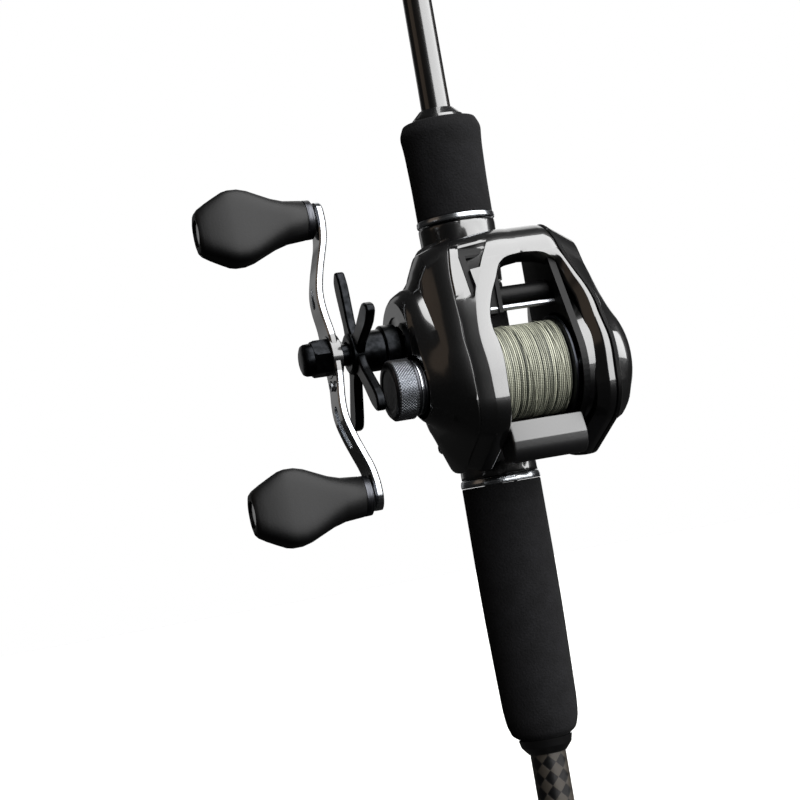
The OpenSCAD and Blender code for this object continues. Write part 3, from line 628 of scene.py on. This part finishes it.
def left_columns(z):
    """(place across, height above the body's outline) from the left seam to the window."""
    seam, crease, edge = follow(seam_left, z), follow(crease_left, z), follow(window_left, z)
    width = crease - seam
    band = min(3, 0.4 * width)
    hollow = eased(z, 341, 343.5) * (1 - eased(z, 357.8, 359.2))
    stop = width - 0.8 if z > 350.5 else min(width - 0.8, max(-12 - seam, band + 0.6))
    places = [0, 0.3, band * 0.5, band - 0.25, band, band + 0.35]
    places += [band + 0.35 + (stop - band - 0.5) * k / 4 for k in (1, 2, 3)] + [
        stop, stop + 0.3, width - 0.2
    ]
    columns = []
    for x in places:
        flank = -0.4 + 2 * (x / width) ** 0.8
        if x <= band:
            height = flank + (1.3 - flank) * hollow
        elif x <= stop:
            # Its floor leans towards the crank side, so it stays dark
            height = flank + (-2.6 + 2.4 * (x - band) / (stop - band) - flank) * hollow
        else:
            height = flank
        columns.append((seam + x, height - (0.3 if x == 0 else 0)))
    face = edge - crease
    columns += [(crease + face * k / 5, 1.6 + 0.2 * math.sin(math.pi * k / 5)) for k in range(5)]
    open_edge = 1 - eased(z, arch_top, 355)
    return columns + [(edge - 0.35, 1.6 - 0.05 * open_edge), (edge, 1.6 - 0.4 * open_edge)]


def right_columns(z):
    """The same from the window to the right seam: a broad inward bevel and then the face."""
    edge, seam = follow(window_right, z), follow(seam_right, z)
    width = seam - edge
    bevel = 1 - eased(z, 346, 353.5)
    open_edge = 1 - eased(z, arch_top, 355)
    columns = []
    for share in (0, 0.06, 0.2, 0.35, 0.5, 0.56, 0.62, 0.8, 0.93, 1):
        height = 1.6 - bevel * 3 * max(0, 0.58 - share) / 0.58
        height -= 0.4 if share == 1 else 0.4 * (1 - bevel) * open_edge if share == 0 else 0
        columns.append((edge + width * share, height))
    return columns


def top_cover_shape():
    rows = cover_rows()
    outer, inner, faces = [], [], []
    for columns_of in (left_columns, right_columns):
        start, count = len(outer), len(columns_of(320))
        for y, z, ny, nz in rows:
            for x, height in columns_of(z):
                # The line guide runs close under the left side of the arch
                guide = eased(z, 336, 338) * (1 - eased(z, 350.8, 352)) * eased(x, -12.6, -11.6)
                under = min(-4.5 + 5.4 * guide, height - 0.5) if x < 8 else -4.5
                outer.append((x, y + ny * height, z + nz * height))
                inner.append((x, y + ny * under, z + nz * under))
        for i in range(len(rows) - 1):
            for k in range(count - 1):
                a = start + i * count + k
                faces.append((a, a + 1, a + count + 1, a + count))
    return walled(outer, inner, faces)


pearl = pearl_black()
piece("top_cover", top_cover_shape(), "rod", "case", pearl, "top_cover", sharp=28)


# ---- Gear side plate ----
# The plate over the gears steps up in a bevelled cone round the main shaft. It is moulded, with a
# pocket beside the cast control cap, and lacquered in the same black; the edge of its bevel shines.
def spokes(circles, centre, count=160):
    """Where evenly spread rays from a point meet the band stretched round circles."""
    cy, cz = centre
    corners = sorted((math.atan2(z - cz, y - cy), y, z) for y, z in stretched_band(circles))
    first, last = corners[0], corners[-1]
    corners = [(last[0] - math.tau, *last[1:])] + corners + [(first[0] + math.tau, *first[1:])]
    met, k = [], 0
    for i in range(count):
        turn = math.tau * i / count - math.pi
        while corners[k + 1][0] < turn:
            k += 1
        (_, y0, z0), (_, y1, z1) = corners[k], corners[k + 1]
        dy, dz = math.cos(turn), math.sin(turn)
        reach = ((y0 - cy) * (z1 - z0) - (z0 - cz) * (y1 - y0)) / (dy * (z1 - z0) - dz * (y1 - y0))
        met.append((cy + reach * dy, cz + reach * dz))
    return met


def looped(rings):
    """A closed skin over rings of points, the last joined to the first."""
    n = len(rings[0])
    faces = []
    for i in range(len(rings)):
        a, b = i * n, (i + 1) % len(rings) * n
        faces += [(a + k, a + (k + 1) % n, b + (k + 1) % n, b + k) for k in range(n)]
    return [p for ring in rings for p in ring], faces


def capped(rings):
    """A closed skin over a row of rings, with a flat face at each end."""
    points, faces = looped(rings)
    n, last = len(rings[0]), len(rings) - 1
    return points, faces[: n * last] + [tuple(range(n)), tuple(range(n * last, n * last + n))]


def prism(ends):
    """A solid between two matching rings of points, given one after the other."""
    n = len(ends) // 2
    sides = [(k, (k + 1) % n, (k + 1) % n + n, k + n) for k in range(n)]
    return ends, [tuple(range(n)), tuple(range(n, 2 * n))] + sides


def cut(shape, tool):
    """What is left of a closed shape when another is taken away."""
    whole, taken = (placed("work", clean_mesh("work", part)) for part in (shape, tool))
    take = whole.modifiers.new("take", "BOOLEAN")
    take.object = taken
    take.solver = "EXACT"
    left = evaluated(whole)
    bpy.data.objects.remove(taken)
    return [tuple(v.co) for v in left.vertices], [tuple(face.vertices) for face in left.polygons]


def grown(circles, g):
    return [(y, z, r + g) for y, z, r in circles]


gear_hub = (-21, 331.25)
spool_hub = (-32, 317)
shaft_hub = (-21, 331.248)


def seam_ring(g, shift, table, rear, centre, limit=lambda x: x):
    """The body's outline grown by g, its place across following a seam at the front."""
    ring = []
    for y, z in spokes(grown(body_circles, g), centre):
        front = eased(-y, 16, 24)
        x = follow(table, z) * front + rear * (1 - front) + shift
        ring.append((limit(x), y, z))
    return ring


def flat_ring(x, circles, centre):
    return [(x, y, z) for y, z in spokes(circles, centre)]


def gear_plate_shape():
    def at(g, shift, limit=lambda x: x):
        return seam_ring(g, shift, seam_left, -20.6, gear_hub, limit)

    def tucked(x):
        return max(x + 0.5, -13.4)

    levels = [
        (
            -24.2,
            [
                (-32, 317.3, 17.8), (-21.2, 331.25, 18.4), (-24, 349, 10), (-22, 304, 9.8),
                (-37, 311.2, 11.8)
            ]
        ),
        (-26.8, [(-32, 317.3, 16.2), (-21.2, 331.25, 18.1), (-24, 345, 8.8), (-23, 308, 8.2)]),
        (-27.4, [(-32, 317.3, 15.6), (-21.2, 331.25, 17.8), (-24, 344, 8.2), (-23, 309, 8)]),
        (-29.2, [(-32, 317.2, 14.2), (-21.2, 331.25, 17.9), (-23, 340, 8.8)]),
        (-30.6, [(-32, 317, 12.6), (-21, 331.25, 17.6)]),
        (-32.6, [(-32, 317, 11.2), (-21, 331.25, 16.4)]),
        (-33.3, [(-31.5, 317.6, 10.8), (-21, 331.25, 15.9)]),
    ]
    boss = [(-34.15, 14.8), (-34.4, 14.3), (-34.4, 9.6), (-33.9, 9.3), (-33.7, 6.6), (-26, 6.6)]
    levels += [(x, [(*shaft_hub, r)]) for x, r in boss]
    levels.append(
        (-25.6, [(-32, 317.3, 14.6), (-21.2, 331.25, 16.6), (-24, 344, 7), (-23, 309, 6.4)])
    )
    rings = [at(-0.6, 0, tucked), at(-0.6, 0), at(0.2, -0.05), at(0.9, -0.35), at(0.8, -0.8)]
    rings += [flat_ring(x, circles, gear_hub) for x, circles in levels] + [at(-2.4, 0, tucked)]
    floor_ring = turned(
        [(4.6, -28.3), (10.6, -28.3), (10.6, -26.6), (4.6, -26.6)], 72, "X", spool_hub
    )
    pocket = turned([(0, -45), (10.4, -45), (10.4, -28.3), (0, -28.3)], 72, "X", spool_hub)
    return joined(cut(looped(rings), pocket), floor_ring)


piece("gear_side_plate", gear_plate_shape(), "rod", "case", pearl, "gear_side_plate", sharp=24)

# The plate's screws have domed heads with a round socket; the foot's two lie in the seat
screw_profile = filleted(
    [
        (0, -0.1, 0), (0.8, -0.1, 0), (0.95, -0.75, 0.1), (1.3, -0.75, 0.3), (1.9, 0, 0.3),
        (1.7, 0.3, 0), (1, 0.3, 0), (1, 5, 0), (0, 5, 0)
    ]
)
screw_places = [(-15, 297.2, -23.6), (-40.6, 307, -24.9), (-22, 355.2, -24.4)]
screws = [
    turned([(r, x + at) for r, x in screw_profile], 32, "X", (y, z)) for y, z, at in screw_places
]
foot_face = -15.1
for z in (308, 341):
    points, faces = turned(screw_profile, 32, "X", (0, 0))
    screws.append(([(b, x + foot_face, a + z) for x, a, b in points], faces))
piece("case_screws", joined(*screws), "rod", "steel", steel, "case_screws")


# ---- Palm side plate and brake dial ----
# A domed plate that fits the palm closes the other side, in the same lacquer. Its middle carries
# the brake's dial, a turned disc that stands a little proud in a round recess.
def palm_plate_shape():
    hub = (-29, 318)
    edges = [(-0.5, 0.2), (0.4, 0.25), (1.2, 0.7), (1.55, 1.6)]
    levels = [
        (
            27.4,
            [
                (-32, 317, 19.2), (-37.4, 309.5, 13), (-22, 331, 17.6), (-24, 347, 11.6),
                (-21, 302, 10.6)
            ]
        ),
        (
            29.6,
            [
                (-32, 316.6, 18.6), (-37, 309.5, 12), (-22, 330, 16), (-24, 342, 10.4),
                (-22, 303, 8.8)
            ]
        ),
        (31.8, [(-32, 316.5, 17.2), (-36, 310, 10.6), (-23, 329, 13.4), (-24, 336, 8.8)]),
        (33.6, [(-32, 316.5, 14.8), (-25, 325, 10.6)]),
        (34.9, [(-32, 316.6, 12.2), (-28, 321, 8.6)]),
    ]
    recess = [(35.5, 9.6), (35.6, 8.9), (35.3, 8.5), (33.7, 8.45), (33.7, 3.05), (23.7, 3.05)]
    levels += [(x, [(*spool_hub, r)]) for x, r in recess + [(23.7, 17.1), (18, 17.1)]]
    rings = [seam_ring(g, shift, seam_right, 18.2, hub) for g, shift in edges]
    rings += [flat_ring(x, circles, hub) for x, circles in levels]
    return looped(rings)


def anodised_dark():
    # Satin dark anodising over turned aluminium: grey where the light strikes, with faint rings
    rings, cloud, bump = (0.0015, 2.0, (5, 0.4, 0.4)), ("#1b1c1f", "#303236"), (0.00002, 0.4)
    return grained("satin_dark_anodised_aluminium", "#242528", 0.34, 1.0, rings, cloud, bump)


anodised = anodised_dark()
piece(
    "palm_side_plate", palm_plate_shape(), "palm_plate", "case", pearl, "palm_side_plate", sharp=28
)
dial_face = [
    (0, 36.35, 0), (5.4, 36.35, 0.2), (5.9, 36.05, 0.3), (6.6, 36.55, 0.4), (8.2, 36.4, 0.5),
    (8.2, 33.9, 0), (2.5, 33.9, 0), (2.5, 26.9, 0), (0, 26.9, 0)
]
piece(
    "brake_dial", turned(filleted(dial_face), 96, "X", spool_hub), "dial", "dark_metal", anodised,
    "brake_dial"
)


# ---- Spool and line ----
# The spool is turned aluminium, anodised dark. It is filled with braided line, laid in close level
# turns by the guide, with a few loose turns that cross the rest.
def grown_mesh(name, build, **sizes):
    """The plain mesh that a tree of nodes makes from its named sizes."""
    tree = bpy.data.node_groups.new(name, "GeometryNodeTree")
    tree.interface.new_socket("Geometry", in_out="OUTPUT", socket_type="NodeSocketGeometry")
    keys, kinds = {}, {int: "NodeSocketInt", float: "NodeSocketFloat"}
    for title, value in sizes.items():
        kind = kinds.get(type(value), "NodeSocketMaterial")
        keys[title] = tree.interface.new_socket(title, in_out="INPUT", socket_type=kind).identifier
    given = tree.nodes.new("NodeGroupInput").outputs
    whole = add(tree, "GeometryNodeRealizeInstances", {0: build(tree, given)})
    done = add(tree, "GeometryNodeSetMaterial", {"Geometry": whole, "Material": given["finish"]})
    add(tree, "NodeGroupOutput", {0: done})
    host = placed("work", bpy.data.meshes.new("work"))
    growth = host.modifiers.new(name, "NODES")
    growth.node_group = tree
    for title, value in sizes.items():
        growth[keys[title]] = value
    mesh = evaluated(host)
    mesh.name = name
    return mesh


def braided_line():
    # Waxed braid: each strand has its own shade, cream to dark green, and a fine weave along it
    material, tree, shader = new_material("waxed_braided_line", "#5d5f4c", 0.55)
    shade = object_noise(tree, 0.0011, 2.0, (2.2, 0.03, 0.03))
    tinted(tree, shader, shade, "#161d13", "#a9aa98", 0.36, 0.64)
    along = add(tree, "ShaderNodeAttribute", attribute_name="along")
    plait = add(
        tree, "ShaderNodeMath", (along.outputs["Fac"], math.tau / 0.0008), operation="MULTIPLY"
    )
    weave = add(tree, "ShaderNodeMath", {0: plait}, operation="SINE")
    relief(tree, shader, weave, 0.00003, 0.6)
    return material


def wound_line(tree, given):
    proud = add(tree, "ShaderNodeMath", (given["radius"], given["strand"]), operation="ADD")
    both = add(tree, "GeometryNodeJoinGeometry")
    for rounds, radius, back in (("turns", given["radius"], False), ("crossings", proud, True)):
        sizes = {"Rotations": given[rounds], "Start Radius": radius, "End Radius": radius}
        sizes |= {"Resolution": 44, "Height": given["width"], "Reverse": back}
        coil = add(tree, "GeometryNodeCurveSpiral", sizes)
        tree.links.new(coil.outputs[0], both.inputs[0])
    # A strand wanders by a fraction of its thickness
    noise = add(tree, "ShaderNodeTexNoise", {"Scale": 160.0, "Detail": 1.0}, noise_dimensions="3D")
    drift = add(
        tree, "ShaderNodeVectorMath", (noise.outputs["Color"], (0.5, 0.5, 0.5)),
        operation="SUBTRACT"
    )
    amount = add(
        tree, "ShaderNodeVectorMath", (drift, (0.0003, 0.0003, 0.0005)), operation="MULTIPLY"
    )
    moved = add(tree, "GeometryNodeSetPosition", {"Geometry": both, "Offset": amount})
    length = add(tree, "GeometryNodeSplineParameter")
    marked = add(
        tree, "GeometryNodeStoreNamedAttribute",
        {"Geometry": moved, "Name": "along", "Value": length.outputs["Length"]},
        data_type="FLOAT", domain="POINT",
    )
    section = add(
        tree, "GeometryNodeCurvePrimitiveCircle", {"Resolution": 6, "Radius": given["strand"]}
    )
    strands = add(
        tree, "GeometryNodeCurveToMesh",
        {"Curve": marked, "Profile Curve": section, "Fill Caps": True},
    )
    return add(
        tree, "GeometryNodeTransform",
        {
            "Geometry": strands, "Rotation": (0, math.pi / 2, 0),
            "Translation": (-0.0089, *(c * MM for c in spool_hub))
        },
    )


def merge(mesh, more):
    """Adds a second mesh to the first."""
    both = bmesh.new()
    both.from_mesh(mesh)
    both.from_mesh(more)
    both.to_mesh(mesh)
    both.free()


def off_axis(face, hub):
    """How far in metres a face lies from an X axis at (y, z) in millimetres."""
    return math.hypot(face.center.y - hub[0] * MM, face.center.z - hub[1] * MM)


def faced(made, material, test):
    """Gives the faces of a piece that pass a test their own finish."""
    made.data.materials.append(material)
    for face in made.data.polygons:
        if test(face):
            face.material_index = len(made.data.materials) - 1


def painted_shade_line():
    # Painted shade: the core under the top turns is coloured dark green with streaks, standing for
    # the shaded turns below
    streaks, cloud = (0.0009, 2.0, (2, 0.05, 0.05)), ("#060905", "#141b11")
    return grained("painted_shade_braided_line", "#0a0f09", 0.8, 0.0, streaks, cloud)


line_finish = braided_line()
strands = grown_mesh(
    "line_turns", wound_line, turns=34.0, crossings=2.0, radius=0.0148, width=0.022,
    strand=0.00025, finish=line_finish,
)
core_profile = filleted([
    (8.5, -9.25, 0), (14.2, -9.25, 0.4), (14.6, -8.4, 0.4), (14.6, 12.4, 0.4), (14.2, 13.25, 0.4),
    (8.5, 13.25, 0),
])
merge(strands, clean_mesh("core", turned(core_profile, 96, "X", spool_hub), MM))
line_pack = fitted("line_pack", strands, "spool_unit", line_finish, ["line_pack"], 60)
# Painted shade: the core's outer face, under and between the strands, gets the dark green finish
faced(line_pack, painted_shade_line(), lambda face: off_axis(face, spool_hub) < 0.01461)
refinish(anodised, "spool")


# ---- Thumb bar ----
# The clutch bar lies across the window's foot. It is moulded and painted satin grey on its flat
# upper face, and rolls under into a dark round lip that the thumb pushes.
def satin_grey_paint():
    # Fine metallic paint, silkier than the case, that turns pale towards the light
    cloud, bump = ("#060607", "#0b0b0c"), (0.00002, 0.3)
    coat = {"Coat Weight": 0.7, "Coat Roughness": 0.28}
    return grained("satin_grey_paint", "#1b1c1d", 0.38, 0.0, (0.0005,), cloud, bump, coat)


bar_section = filleted(
    [
        (-44.9, 301.2, 0.5), (-46.8, 294.9, 0.25), (-46.3, 291, 2.6), (-43.6, 288.2, 2.6),
        (-36, 288.6, 1), (-34.2, 292.6, 1), (-36.4, 297.4, 1)
    ], 6
)
bar_rings = []
for x, size in ((-10.5, 0.9), (-10.2, 0.97), (-9.7, 1), (13.8, 1), (14.3, 0.97), (14.6, 0.9)):
    middle = Vector((-41, 294.5))
    bar_rings.append([(x, *(middle + (p - middle) * size)) for p in bar_section])
piece("thumb_bar", capped(bar_rings), "thumb", "thumb", satin_grey_paint(), "thumb_bar", sharp=25)


# ---- Line guide ----
# The guide slides along its bar under the worm. It is moulded nylon, with a pale ceramic insert
# that the line runs through.
def pale_ceramic():
    # Polished off-white ceramic with a faint cloud
    cloud = ("#87888a", "#aeafb0")
    return grained("polished_pale_ceramic", "#9b9c9d", 0.15, 0.0, (0.0008,), cloud)


refinish(dull_nylon, "line_guide")
refinish(pale_ceramic(), "guide_insert")


# ---- Cast control cap ----
# The cap that sets the spool's end play is turned aluminium, anodised dark. Its outer rim is cut
# with a diamond knurl for the fingers, and a narrow bright ring parts it from the smooth collar.
def diamond_knurl(tree, given):
    count = add(tree, "ShaderNodeMath", (given["rows"], given["around"]), operation="MULTIPLY")
    dots = add(tree, "GeometryNodePoints", {"Count": count})
    index = add(tree, "GeometryNodeInputIndex")
    share = add(tree, "ShaderNodeMath", (index, given["around"]), operation="DIVIDE")
    row = add(tree, "ShaderNodeMath", {0: share}, operation="FLOOR")
    half = add(tree, "ShaderNodeMath", (row, 0.5), operation="MULTIPLY")
    column = add(tree, "ShaderNodeMath", (index, half), operation="ADD")
    part = add(tree, "ShaderNodeMath", (column, given["around"]), operation="DIVIDE")
    turn = add(tree, "ShaderNodeMath", (part, math.tau), operation="MULTIPLY")
    place = add(
        tree, "ShaderNodeMath", (row, given["pitch"], given["first"]), operation="MULTIPLY_ADD"
    )
    round_hub = []
    for operation, middle in zip(("COSINE", "SINE"), spool_hub):
        swing = add(tree, "ShaderNodeMath", {0: turn}, operation=operation)
        reached = (swing, given["radius"], middle * MM)
        round_hub.append(add(tree, "ShaderNodeMath", reached, operation="MULTIPLY_ADD"))
    where = add(tree, "ShaderNodeCombineXYZ", (place, *round_hub))
    spread = add(tree, "GeometryNodeSetPosition", {"Geometry": dots, "Position": where})
    tooth = add(
        tree, "GeometryNodeMeshCone",
        {
            "Vertices": 4, "Radius Top": 0.0, "Radius Bottom": given["size"],
            "Depth": given["height"]
        },
    )
    outward = add(
        tree, "GeometryNodeTransform", {"Geometry": tooth, "Rotation": (-math.pi / 2, 0, 0)}
    )
    facing = add(tree, "ShaderNodeCombineXYZ", {0: turn})
    set_out = {"Points": spread, "Instance": outward, "Rotation": facing}
    return add(tree, "GeometryNodeInstanceOnPoints", set_out)


def satin_grey_anodised():
    # A lighter grey anodising than the dark parts: mid grey, clouded with faint rings. The knurl's
    # teeth get a painted highlight in bright steel
    rings, cloud = (0.0015, 2.0, (5, 0.4, 0.4)), ("#2d2e31", "#48494d")
    return grained("satin_grey_anodised_aluminium", "#3c3d40", 0.36, 1.0, rings, cloud)


cap_finish = satin_grey_anodised()
knurl = grown_mesh(
    "cap_knurl", diamond_knurl, rows=12, around=59, radius=0.0092, pitch=0.0005, first=-0.042,
    size=0.00055,
    height=0.0005, finish=cap_finish,
)
cap_profile = filleted([
    (0, -42.9, 0), (6.2, -42.9, 0.3), (6.8, -43.2, 0.3), (8.6, -43.2, 0.6), (9.25, -42.4, 0.2),
    (9.25, -36.2, 0.1), (8.6, -35.9, 0.1), (8.6, -35.2, 0.1), (8.9, -35, 0.1), (8.9, -34.5, 0.1),
    (8.4, -34.3, 0.1), (8.4, -33.9, 0.1), (8.8, -33.7, 0.2), (8.8, -28.5, 0.3), (7.6, -28.5, 0),
    (7.6, -40.7, 0), (0, -40.7, 0),
])
merge(knurl, clean_mesh("cap_body", turned(cap_profile, 96, "X", spool_hub), MM))
cast_cap = fitted("cast_cap", knurl, "tension_cap", cap_finish, ["cast_cap"], 30)
rim, ring_start, ring_end = -0.0359, -0.03505, -0.03445


# The knurl's outer faces, which get a painted highlight
def on_painted_knurl_highlight(face):
    return face.center.x < rim and off_axis(face, spool_hub) > 0.0093


def on_bright_ring(face):
    return ring_start < face.center.x < ring_end and off_axis(face, spool_hub) > 0.0086


# Painted highlight: the knurl's teeth are coloured bright steel so that they look lit
faced(cast_cap, steel, on_painted_knurl_highlight)
faced(cast_cap, bright_ring, on_bright_ring)


# ---- Drag star ----
# Five bevelled arms on a stepped hub tighten the drag behind the handle. The star is cast alloy
# with a satin black coat that turns grey along its edges.
def satin_black_alloy():
    # Anodised casting with a silky skin; noise clouds it a little
    cloud, bump = ("#0c0d0e", "#1a1b1d"), (0.00003, 0.3)
    return grained("satin_black_alloy", "#101113", 0.3, 1.0, (0.002,), cloud, bump)


def plate(outline, x0, x1, turn):
    """A flat plate from an outline of (y, z), turned about the crank's axis."""
    c, s = math.cos(turn), math.sin(turn)
    cy, cz = shaft_hub
    return prism(
        [(x, cy + y * c - z * s, cz + y * s + z * c) for x in (x0, x1) for y, z in outline]
    )


satin_black = satin_black_alloy()
star_arm = filleted([
    (-4.6, 2, 0), (-2.4, 9, 2), (-3, 22.2, 3), (-1.6, 26.6, 1), (0.4, 27.2, 1), (3.2, 24.8, 1.4),
    (3.6, 21.2, 2), (2.6, 9, 2), (4.6, 2, 0),
], 3)
star_hub = filleted([
    (3.6, -51.2, 0), (5.9, -51.2, 0), (6.6, -50.6, 0.3), (6.6, -40.2, 0.3), (7.6, -39.8, 0.3),
    (7.6, -35.2, 0.4), (3.6, -35.2, 0),
])
arms = [plate(star_arm, -50, -47, math.radians(i * 72 - 8)) for i in range(5)]
star = joined(turned(star_hub, 96, "X", shaft_hub), *arms)
star = piece("drag_star", star, "star", "dark_metal", satin_black, "drag_star", sharp=30)
round_edges = star.modifiers.new("round_edges", "BEVEL")
round_edges.width = 0.0006
round_edges.segments = 2
round_edges.limit_method = "ANGLE"
round_edges.angle_limit = math.radians(40)


# ---- Handle arm, nut and knobs ----
# The arm is stamped alloy, swept out from its hub to both knobs. Its flat faces are gloss black and
# its cut edges are bright. A domed nut with a small retainer screw holds it on the main shaft.
arm_curve = [
    (0, -57.6), (8, -57.8), (16, -58.6), (21, -58.4), (27, -57), (32, -55.4), (37, -53.8),
    (42, -53), (45.5, -52.9), (52, -52.9)
]
reach = 45.5
arm_seat = -57.95
crank_lean = math.radians(8)


def on_crank(shape, along=0):
    """Puts a shape drawn as (x, across, along) on the crank, which leans from the rod."""
    c, s = math.cos(crank_lean), math.sin(crank_lean)
    cy, cz = shaft_hub
    points = [
        (x, cy + u * c + (w + along) * s, cz - u * s + (w + along) * c) for x, u, w in shape[0]
    ]
    return points, shape[1]


def handle_arm_shape():
    half, thick, edge = 5.2, 2.5, 0.55
    marks = [reach + half * math.sin(math.pi / 2 * k / 14) for k in range(15)]
    marks = [reach * k / 46 for k in range(46)] + marks
    rings = []
    for s in [-m for m in marks[:0:-1]] + marks:
        out = follow(arm_curve, abs(s))
        wide = max(math.sqrt(max(half**2 - max(abs(s) - reach, 0) ** 2, 0)), 0.05)
        wide += 1.2 * (1 - eased(abs(s), 3, 12))
        near = min(edge, wide * 0.6)
        rings.append([
            (out + edge, -wide, s), (out, -wide + near, s), (out, wide - near, s),
            (out + edge, wide, s), (out + thick - edge, wide, s), (out + thick, wide - near, s),
            (out + thick, -wide + near, s), (out + thick - edge, -wide, s),
        ])
    slot = filleted([(-1.6, -30, 1.5), (1.6, -30, 1.5), (1.6, -16, 1.5), (-1.6, -16, 1.5)], 6)

    def window(low, high, shift):
        return prism([(x, u, w + shift) for x in (low, high) for u, w in slot])

    shape = cut(cut(capped(rings), window(-62, -50, 0)), window(-62, arm_seat, 46))
    hub_profile = filleted([(2.6, -57.9, 0), (7, -57.9, 0.4), (7, -54.4, 0.4), (2.6, -54.4, 0)])
    hub = turned(hub_profile, 64, "X", (0, 0))
    return on_crank(joined(shape, hub))


def black_enamel():
    # Stoved enamel over the stamping, glossy and slightly uneven like orange peel
    material, tree, shader = lacquered("stoved_black_enamel", "#010102", "#040405", 0.003)
    peel = object_noise(tree, 0.0015, 1.0)
    relief(tree, shader, peel, 0.00003, 0.3)
    return material


enamel = black_enamel()
arm = piece("handle_arm", handle_arm_shape(), "crank", "dark_metal", enamel, "handle_arm", sharp=20)
refinish(satin_black, "main_shaft")
faced(
    arm, bright_ring,
    lambda face: abs(face.normal.x) < 0.86 and off_axis(face, shaft_hub) > 0.0085,
)

nut_rings = []
for x, flats, round_r in (
    (arm_seat, 6.2, 7), (-62.4, 6.2, 7), (-63.1, 6.2, 5.75), (-63.2, 5.2, 5.3), (-65.2, 5.1, 5.15),
    (-66, 4.7, 4.7), (-66.4, 3.8, 3.8), (-66.55, 2, 2), (-66.6, 0.01, 0.01), (-61, 0.01, 0.01),
    (-61, 2.65, 2.65), (arm_seat, 2.65, 2.65),
):
    ring = []
    for k in range(96):
        turn = math.tau * k / 96
        lean = turn % (math.pi / 3) - math.pi / 6
        across_flats = flats * math.cos(math.pi / 6) / math.cos(lean)
        r = min(across_flats, round_r) if x > -63.15 and flats > 3 else flats
        ring.append((x, r * math.cos(turn), r * math.sin(turn)))
    nut_rings.append(ring)
piece(
    "handle_nut", on_crank(looped(nut_rings)), "crank", "dark_metal", satin_black, "handle_nut",
    sharp=28
)


def soft_touch():
    # Soft-touch moulding: charcoal, almost matt, with a broad grey sheen and a hint of grain
    cloud, bump, more = ("#030303", "#070708"), (0.00004, 0.5), {"Specular IOR Level": 0.22}
    return grained("soft_touch_moulding", "#050506", 0.5, 0.0, (0.0006,), cloud, bump, more)


# Paddle: (place from the arm, half height, half thickness, squareness)
knob_root = -53.6
knob_sections = [
    (0, 5.6, 5.6, 2), (-0.5, 6.3, 6.2, 2), (-2.4, 6.4, 6.3, 2), (-2.6, 6.2, 6.1, 2),
    (-2.9, 6.2, 6.1, 2), (-3.1, 6.45, 6.25, 2), (-9, 6.9, 6.3, 2.4), (-13, 8, 6.3, 3),
    (-17, 9.7, 6.4, 3.8), (-20.5, 11.2, 6.6, 4.6), (-23.5, 11.95, 6.75, 5), (-26.5, 12, 6.8, 5),
    (-28.5, 11.6, 6.7, 4.8), (-31.5, 10.2, 6.3, 4.4), (-34.5, 8.7, 5.7, 4), (-36.8, 7.4, 5.1, 3.4),
    (-37.7, 6.5, 4.7, 3), (-38, 5.4, 4.4, 2.4), (-38, 4.3, 4.3, 2), (-35, 4.3, 4.3, 2),
    (-35, 2.1, 2.1, 2), (0, 2.1, 2.1, 2),
]


def knob_shape(end):
    rings = []
    for x, tall, thick, square in knob_sections:
        ring = []
        for k in range(96):
            c, s = math.cos(math.tau * k / 96), math.sin(math.tau * k / 96)
            u = math.copysign(thick * abs(c) ** (2 / square), c)
            w = math.copysign(tall * abs(s) ** (2 / square), s)
            ring.append((knob_root + x, u, w))
        rings.append(ring)
    return on_crank(looped(rings), end * reach)


knob_finish = soft_touch()
for name, body, end in (("upper_knob", "upper_grip", 1), ("lower_knob", "lower_grip", -1)):
    knob = piece(name, knob_shape(end), body, "knob", knob_finish, name, sharp=40)
    faced(knob, cap_finish, lambda face: face.center.x > -0.0562)
refinish(gloss_check, "upper_knob_cap", "lower_knob_cap")


# ---- Gears and drag ----
# The gears behind the side plate are hobbed brass, the worm's gear is white nylon, and the drag's
# washers are woven carbon and steel.
def hobbed_brass():
    # Warm yellow with the fine marks of the hob
    marks, cloud = (0.001, 2.0, (4, 1, 1)), ("#94743c", "#c4a263")
    return grained("hobbed_brass", "#b08d4f", 0.3, 1.0, marks, cloud)


def white_nylon():
    # Waxy off-white moulding
    cloud, more = ("#aaa799", "#c6c3b5"), {"Subsurface Weight": 0.1}
    return grained("moulded_white_nylon", "#b9b6a8", 0.5, 0.0, (0.002,), cloud, more=more)


refinish(hobbed_brass(), "main_gear", "pinion_gear")
refinish(white_nylon(), "worm_gear")
refinish(smoked_chrome, "drag_washers")
